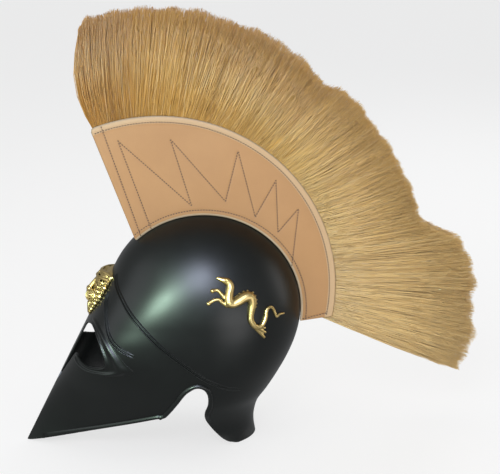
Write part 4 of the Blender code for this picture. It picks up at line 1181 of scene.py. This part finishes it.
def dragon_wax(side):
    """A sea dragon in wax, laid on the skull: body, belly ridges, scales, legs, fin and beads."""
    bm = bmesh.new()

    def laid(strokes, lift):
        """Places on the skull, lifted by shares of their thickness, and the way out there."""
        along, up, thick = np.array(strokes, float).T
        x = FACE_REACH + DRAGON_BEHIND + DRAGON_LENGTH * along
        z = SKULL_HEIGHT + DRAGON_ABOVE + DRAGON_LENGTH * up
        skin = np.stack((x, side * side_y(x, z), z), -1)
        out = shell_normal(skin)
        return skin + out * (lift * DRAGON_LENGTH * thick)[:, None], out

    def carving(walked, turn):
        """Ridges across the belly of the neck, and scales over the rest."""
        belly = np.clip(side * np.cos(turn), 0, 1) ** 2
        neck = np.clip((NECK_LENGTH - walked) / 0.004, 0, 1)
        neck = neck * np.clip((walked - 0.009) / 0.002, 0, 1)
        ridges = BELLY_RIDGE * belly * neck * np.abs(np.sin(math.pi * walked / BELLY_PITCH))
        row = walked / SCALE_PITCH * 2 * math.pi
        scales = SCALE_DEPTH * (1 - belly) * np.cos(row + 6 * turn) * np.cos(row - 6 * turn)
        return ridges + scales * np.clip((walked - 0.012) / 0.004, 0, 1)

    def rod(strokes, lift, carved=None, steps=5, sides=14):
        """A rod of wax laid along strokes, and the finer strokes it follows."""
        fine = smooth_path([tuple(s) for s in strokes], steps)
        path, out = laid(fine, lift)
        wax_rod(bm, path, DRAGON_LENGTH * fine[:, 2], out, carved, sides)
        return fine

    fine = rod(DRAGON_BODY, 0.42, carving, 12, 28)
    for leg in DRAGON_LEGS:
        rod(leg, 0.55)
    for tip in FIN_TIPS:
        middle = Stroke(*(np.array(FIN_ROOT) * 0.5 + np.array(tip) * 0.5))
        rod((FIN_ROOT, middle, tip), 0.5)
    walked = DRAGON_LENGTH * lengths_along(fine[:, :2])
    ahead = unit(np.gradient(fine[:, :2], axis=0))
    for place in np.arange(BEADS_FROM, BEADS_TO, BEAD_PITCH):
        i = int(np.argmin(np.abs(walked - place)))
        thick = fine[i, 2]
        spine = (fine[i, 0] - ahead[i, 1] * thick, fine[i, 1] + ahead[i, 0] * thick, 1.0)
        foot, out = laid([spine], 0.0)
        blob(bm, foot[0] + out[0] * BEAD_RADIUS, (BEAD_RADIUS,) * 3)
    eye = np.radians(np.linspace(0, 372, 20))
    ring = np.stack((-0.258 + 0.015 * np.cos(eye), 0.398 + 0.013 * np.sin(eye),
                     np.full(20, 0.045)), -1)
    path, out = laid(ring, 1.32)
    wax_rod(bm, path, 0.0006, out, sides=8)
    nostril, _ = laid([(-0.335, 0.438, 0.022)], 1.2)
    blob(bm, nostril[0], (0.0008, 0.0008, 0.0008))
    places = np.array([v.co for v in bm.verts])
    skin = side_y(places[:, 0], places[:, 2]) - SUNK
    places[:, 1] = side * np.maximum(np.abs(places[:, 1]), skin)
    for vert, place in zip(bm.verts, places):
        vert.co = place
    return bm


mask = cast("lion_mask", lion_wax(), MASK_GRAIN)
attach(mask, "root")
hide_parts("brow_mask")
for name, side in (("dragon_left", -1), ("dragon_right", 1)):
    dragon = cast(name + "_casting", dragon_wax(side), DRAGON_GRAIN)
    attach(dragon, "root")
    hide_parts(name)

# The studio: a wide round bowl of pale seamless paper, soft light from above, from the left and
# from behind the camera, and a view from 17 degrees above, 2 m away
CAMERA_DISTANCE = 2.0
CAMERA_RISE = 17.0
CAMERA_BEARING = -1.0
CAMERA_ROLL = 2.0
CAMERA_LENS = 105.9
CAMERA_TARGET = Vector((0.3248 + CHIN_X, 0.0, 0.2835))
FLOOR_REACH = 7.0
FLOOR_CURVE = 2.0
FLOOR_RIM_HEIGHT = 3.2
FLOOR_SIDES = 96
FLOOR_DROP = 0.0005

sweep_paper, tree, shader = surface(
    "seamless_paper", Base_Color=linear("#8C8C8C"), Emission_Color=linear("#F2F2F2"),
    Emission_Strength=0.79, Specular_IOR_Level=0.0, Roughness=0.85)
paper = bmesh.new()
profile = [(FLOOR_REACH + FLOOR_CURVE * math.sin(a), FLOOR_CURVE * (1 - math.cos(a)))
           for a in np.radians(np.linspace(0, 90, 13))]
profile.append((FLOOR_REACH + FLOOR_CURVE, FLOOR_RIM_HEIGHT))
middle = paper.verts.new((0, 0, -FLOOR_DROP))
turns = np.linspace(0, 2 * math.pi, FLOOR_SIDES, endpoint=False)
rings = []
for reach, height in profile:
    ring = [(reach * math.cos(a), reach * math.sin(a), height - FLOOR_DROP) for a in turns]
    rings.append([paper.verts.new(place) for place in ring])
for i in range(FLOOR_SIDES):
    paper.faces.new((middle, rings[0][i], rings[0][(i + 1) % FLOOR_SIDES]))
bridge(paper, rings[::-1])
mesh = bpy.data.meshes.new("seamless_paper")
paper.to_mesh(mesh)
paper.free()
mesh.materials.append(sweep_paper)
mesh.shade_smooth()
floor = put("seamless_paper", mesh)
# The paper isn't mirrored in the black paint, as on a small table in a dark room
floor.visible_glossy = False

# Soft boxes: place, aim and size in metres, watts, tint, and whether they light the matt
# surfaces and show as soft glows on the glossy ones
SoftBox = namedtuple("SoftBox", "name place aim size watts tint lights glows")
SOFT_BOXES = (
    SoftBox("key", (-0.25, -1.76, 1.47), (0.0, 0.0, 0.25), 0.8, 9.5, "#F8FAFF", True, False),
    SoftBox("side", (-1.5, -1.2, 1.2), (0.0, 0.0, 0.25), 1.0, 7.5, "#FFFFFF", True, False),
    SoftBox("top", (0.1, 0.2, 2.2), (0.0, 0.0, 0.2), 1.8, 12.0, "#FFFFFF", True, False),
    SoftBox("back", (0.9, 1.4, 1.4), (0.0, 0.0, 0.3), 1.2, 7.5, "#FFFFFF", True, False),
    SoftBox("green_pane", (-0.79, -1.38, 0.60), (-0.057, 0.0, 0.19), 0.22, 40.0, "#CFF5DC",
            False, True),
    SoftBox("window", (-0.12, -1.38, 0.98), (-0.057, 0.0, 0.19), 0.70, 30.0, "#DDE6FF", False, True),
    SoftBox("left_wall", (-2.0, -0.6, 1.0), (0.0, 0.0, 0.20), 1.5, 9.0, "#F6FAFF", False, True),
    SoftBox("right_wall", (1.9, 0.5, 0.4), (0.0, 0.0, 0.15), 1.4, 16.0, "#FFFFFF", False, True),
    SoftBox("table", (0.35, -0.75, 0.03), (-0.05, -0.05, 0.06), 0.50, 2.0, "#FFFFFF", False, True),
)
for box in SOFT_BOXES:
    light = bpy.data.lights.new(box.name, "AREA")
    light.shape = "DISK"
    light.size = box.size
    light.energy = box.watts
    light.color = linear(box.tint)[:3]
    lamp = put(box.name, light)
    lamp.location = box.place
    lamp.rotation_euler = (Vector(box.aim) - Vector(box.place)).to_track_quat("-Z", "Y").to_euler()
    lamp.visible_diffuse = box.lights
    lamp.visible_glossy = box.glows
    lamp.visible_camera = False

world = bpy.data.worlds.new("studio")
world.use_nodes = True
sky = world.node_tree.nodes["Background"]
sky.inputs["Color"].default_value = linear("#EEF0F2")
sky.inputs["Strength"].default_value = 0.42
bpy.context.scene.world = world

rise, bearing, roll = (math.radians(a) for a in (CAMERA_RISE, CAMERA_BEARING, CAMERA_ROLL))
back = Vector((math.sin(bearing) * math.cos(rise), -math.cos(bearing) * math.cos(rise),
               math.sin(rise)))
level = Vector((math.cos(bearing), math.sin(bearing), 0))
above = back.cross(level)
right = level * math.cos(roll) - above * math.sin(roll)
up = level * math.sin(roll) + above * math.cos(roll)
camera_data = bpy.data.cameras.new("photo_camera")
camera_data.sensor_width = 36
camera_data.lens = CAMERA_LENS
camera = put("photo_camera", camera_data)
turned = Matrix((right, up, back)).transposed().to_4x4()
turned.translation = CAMERA_TARGET + back * CAMERA_DISTANCE
camera.matrix_world = turned
bpy.context.scene.camera = camera
bpy.context.scene.view_settings.view_transform = "Standard"

bpy.context.view_layer.update()
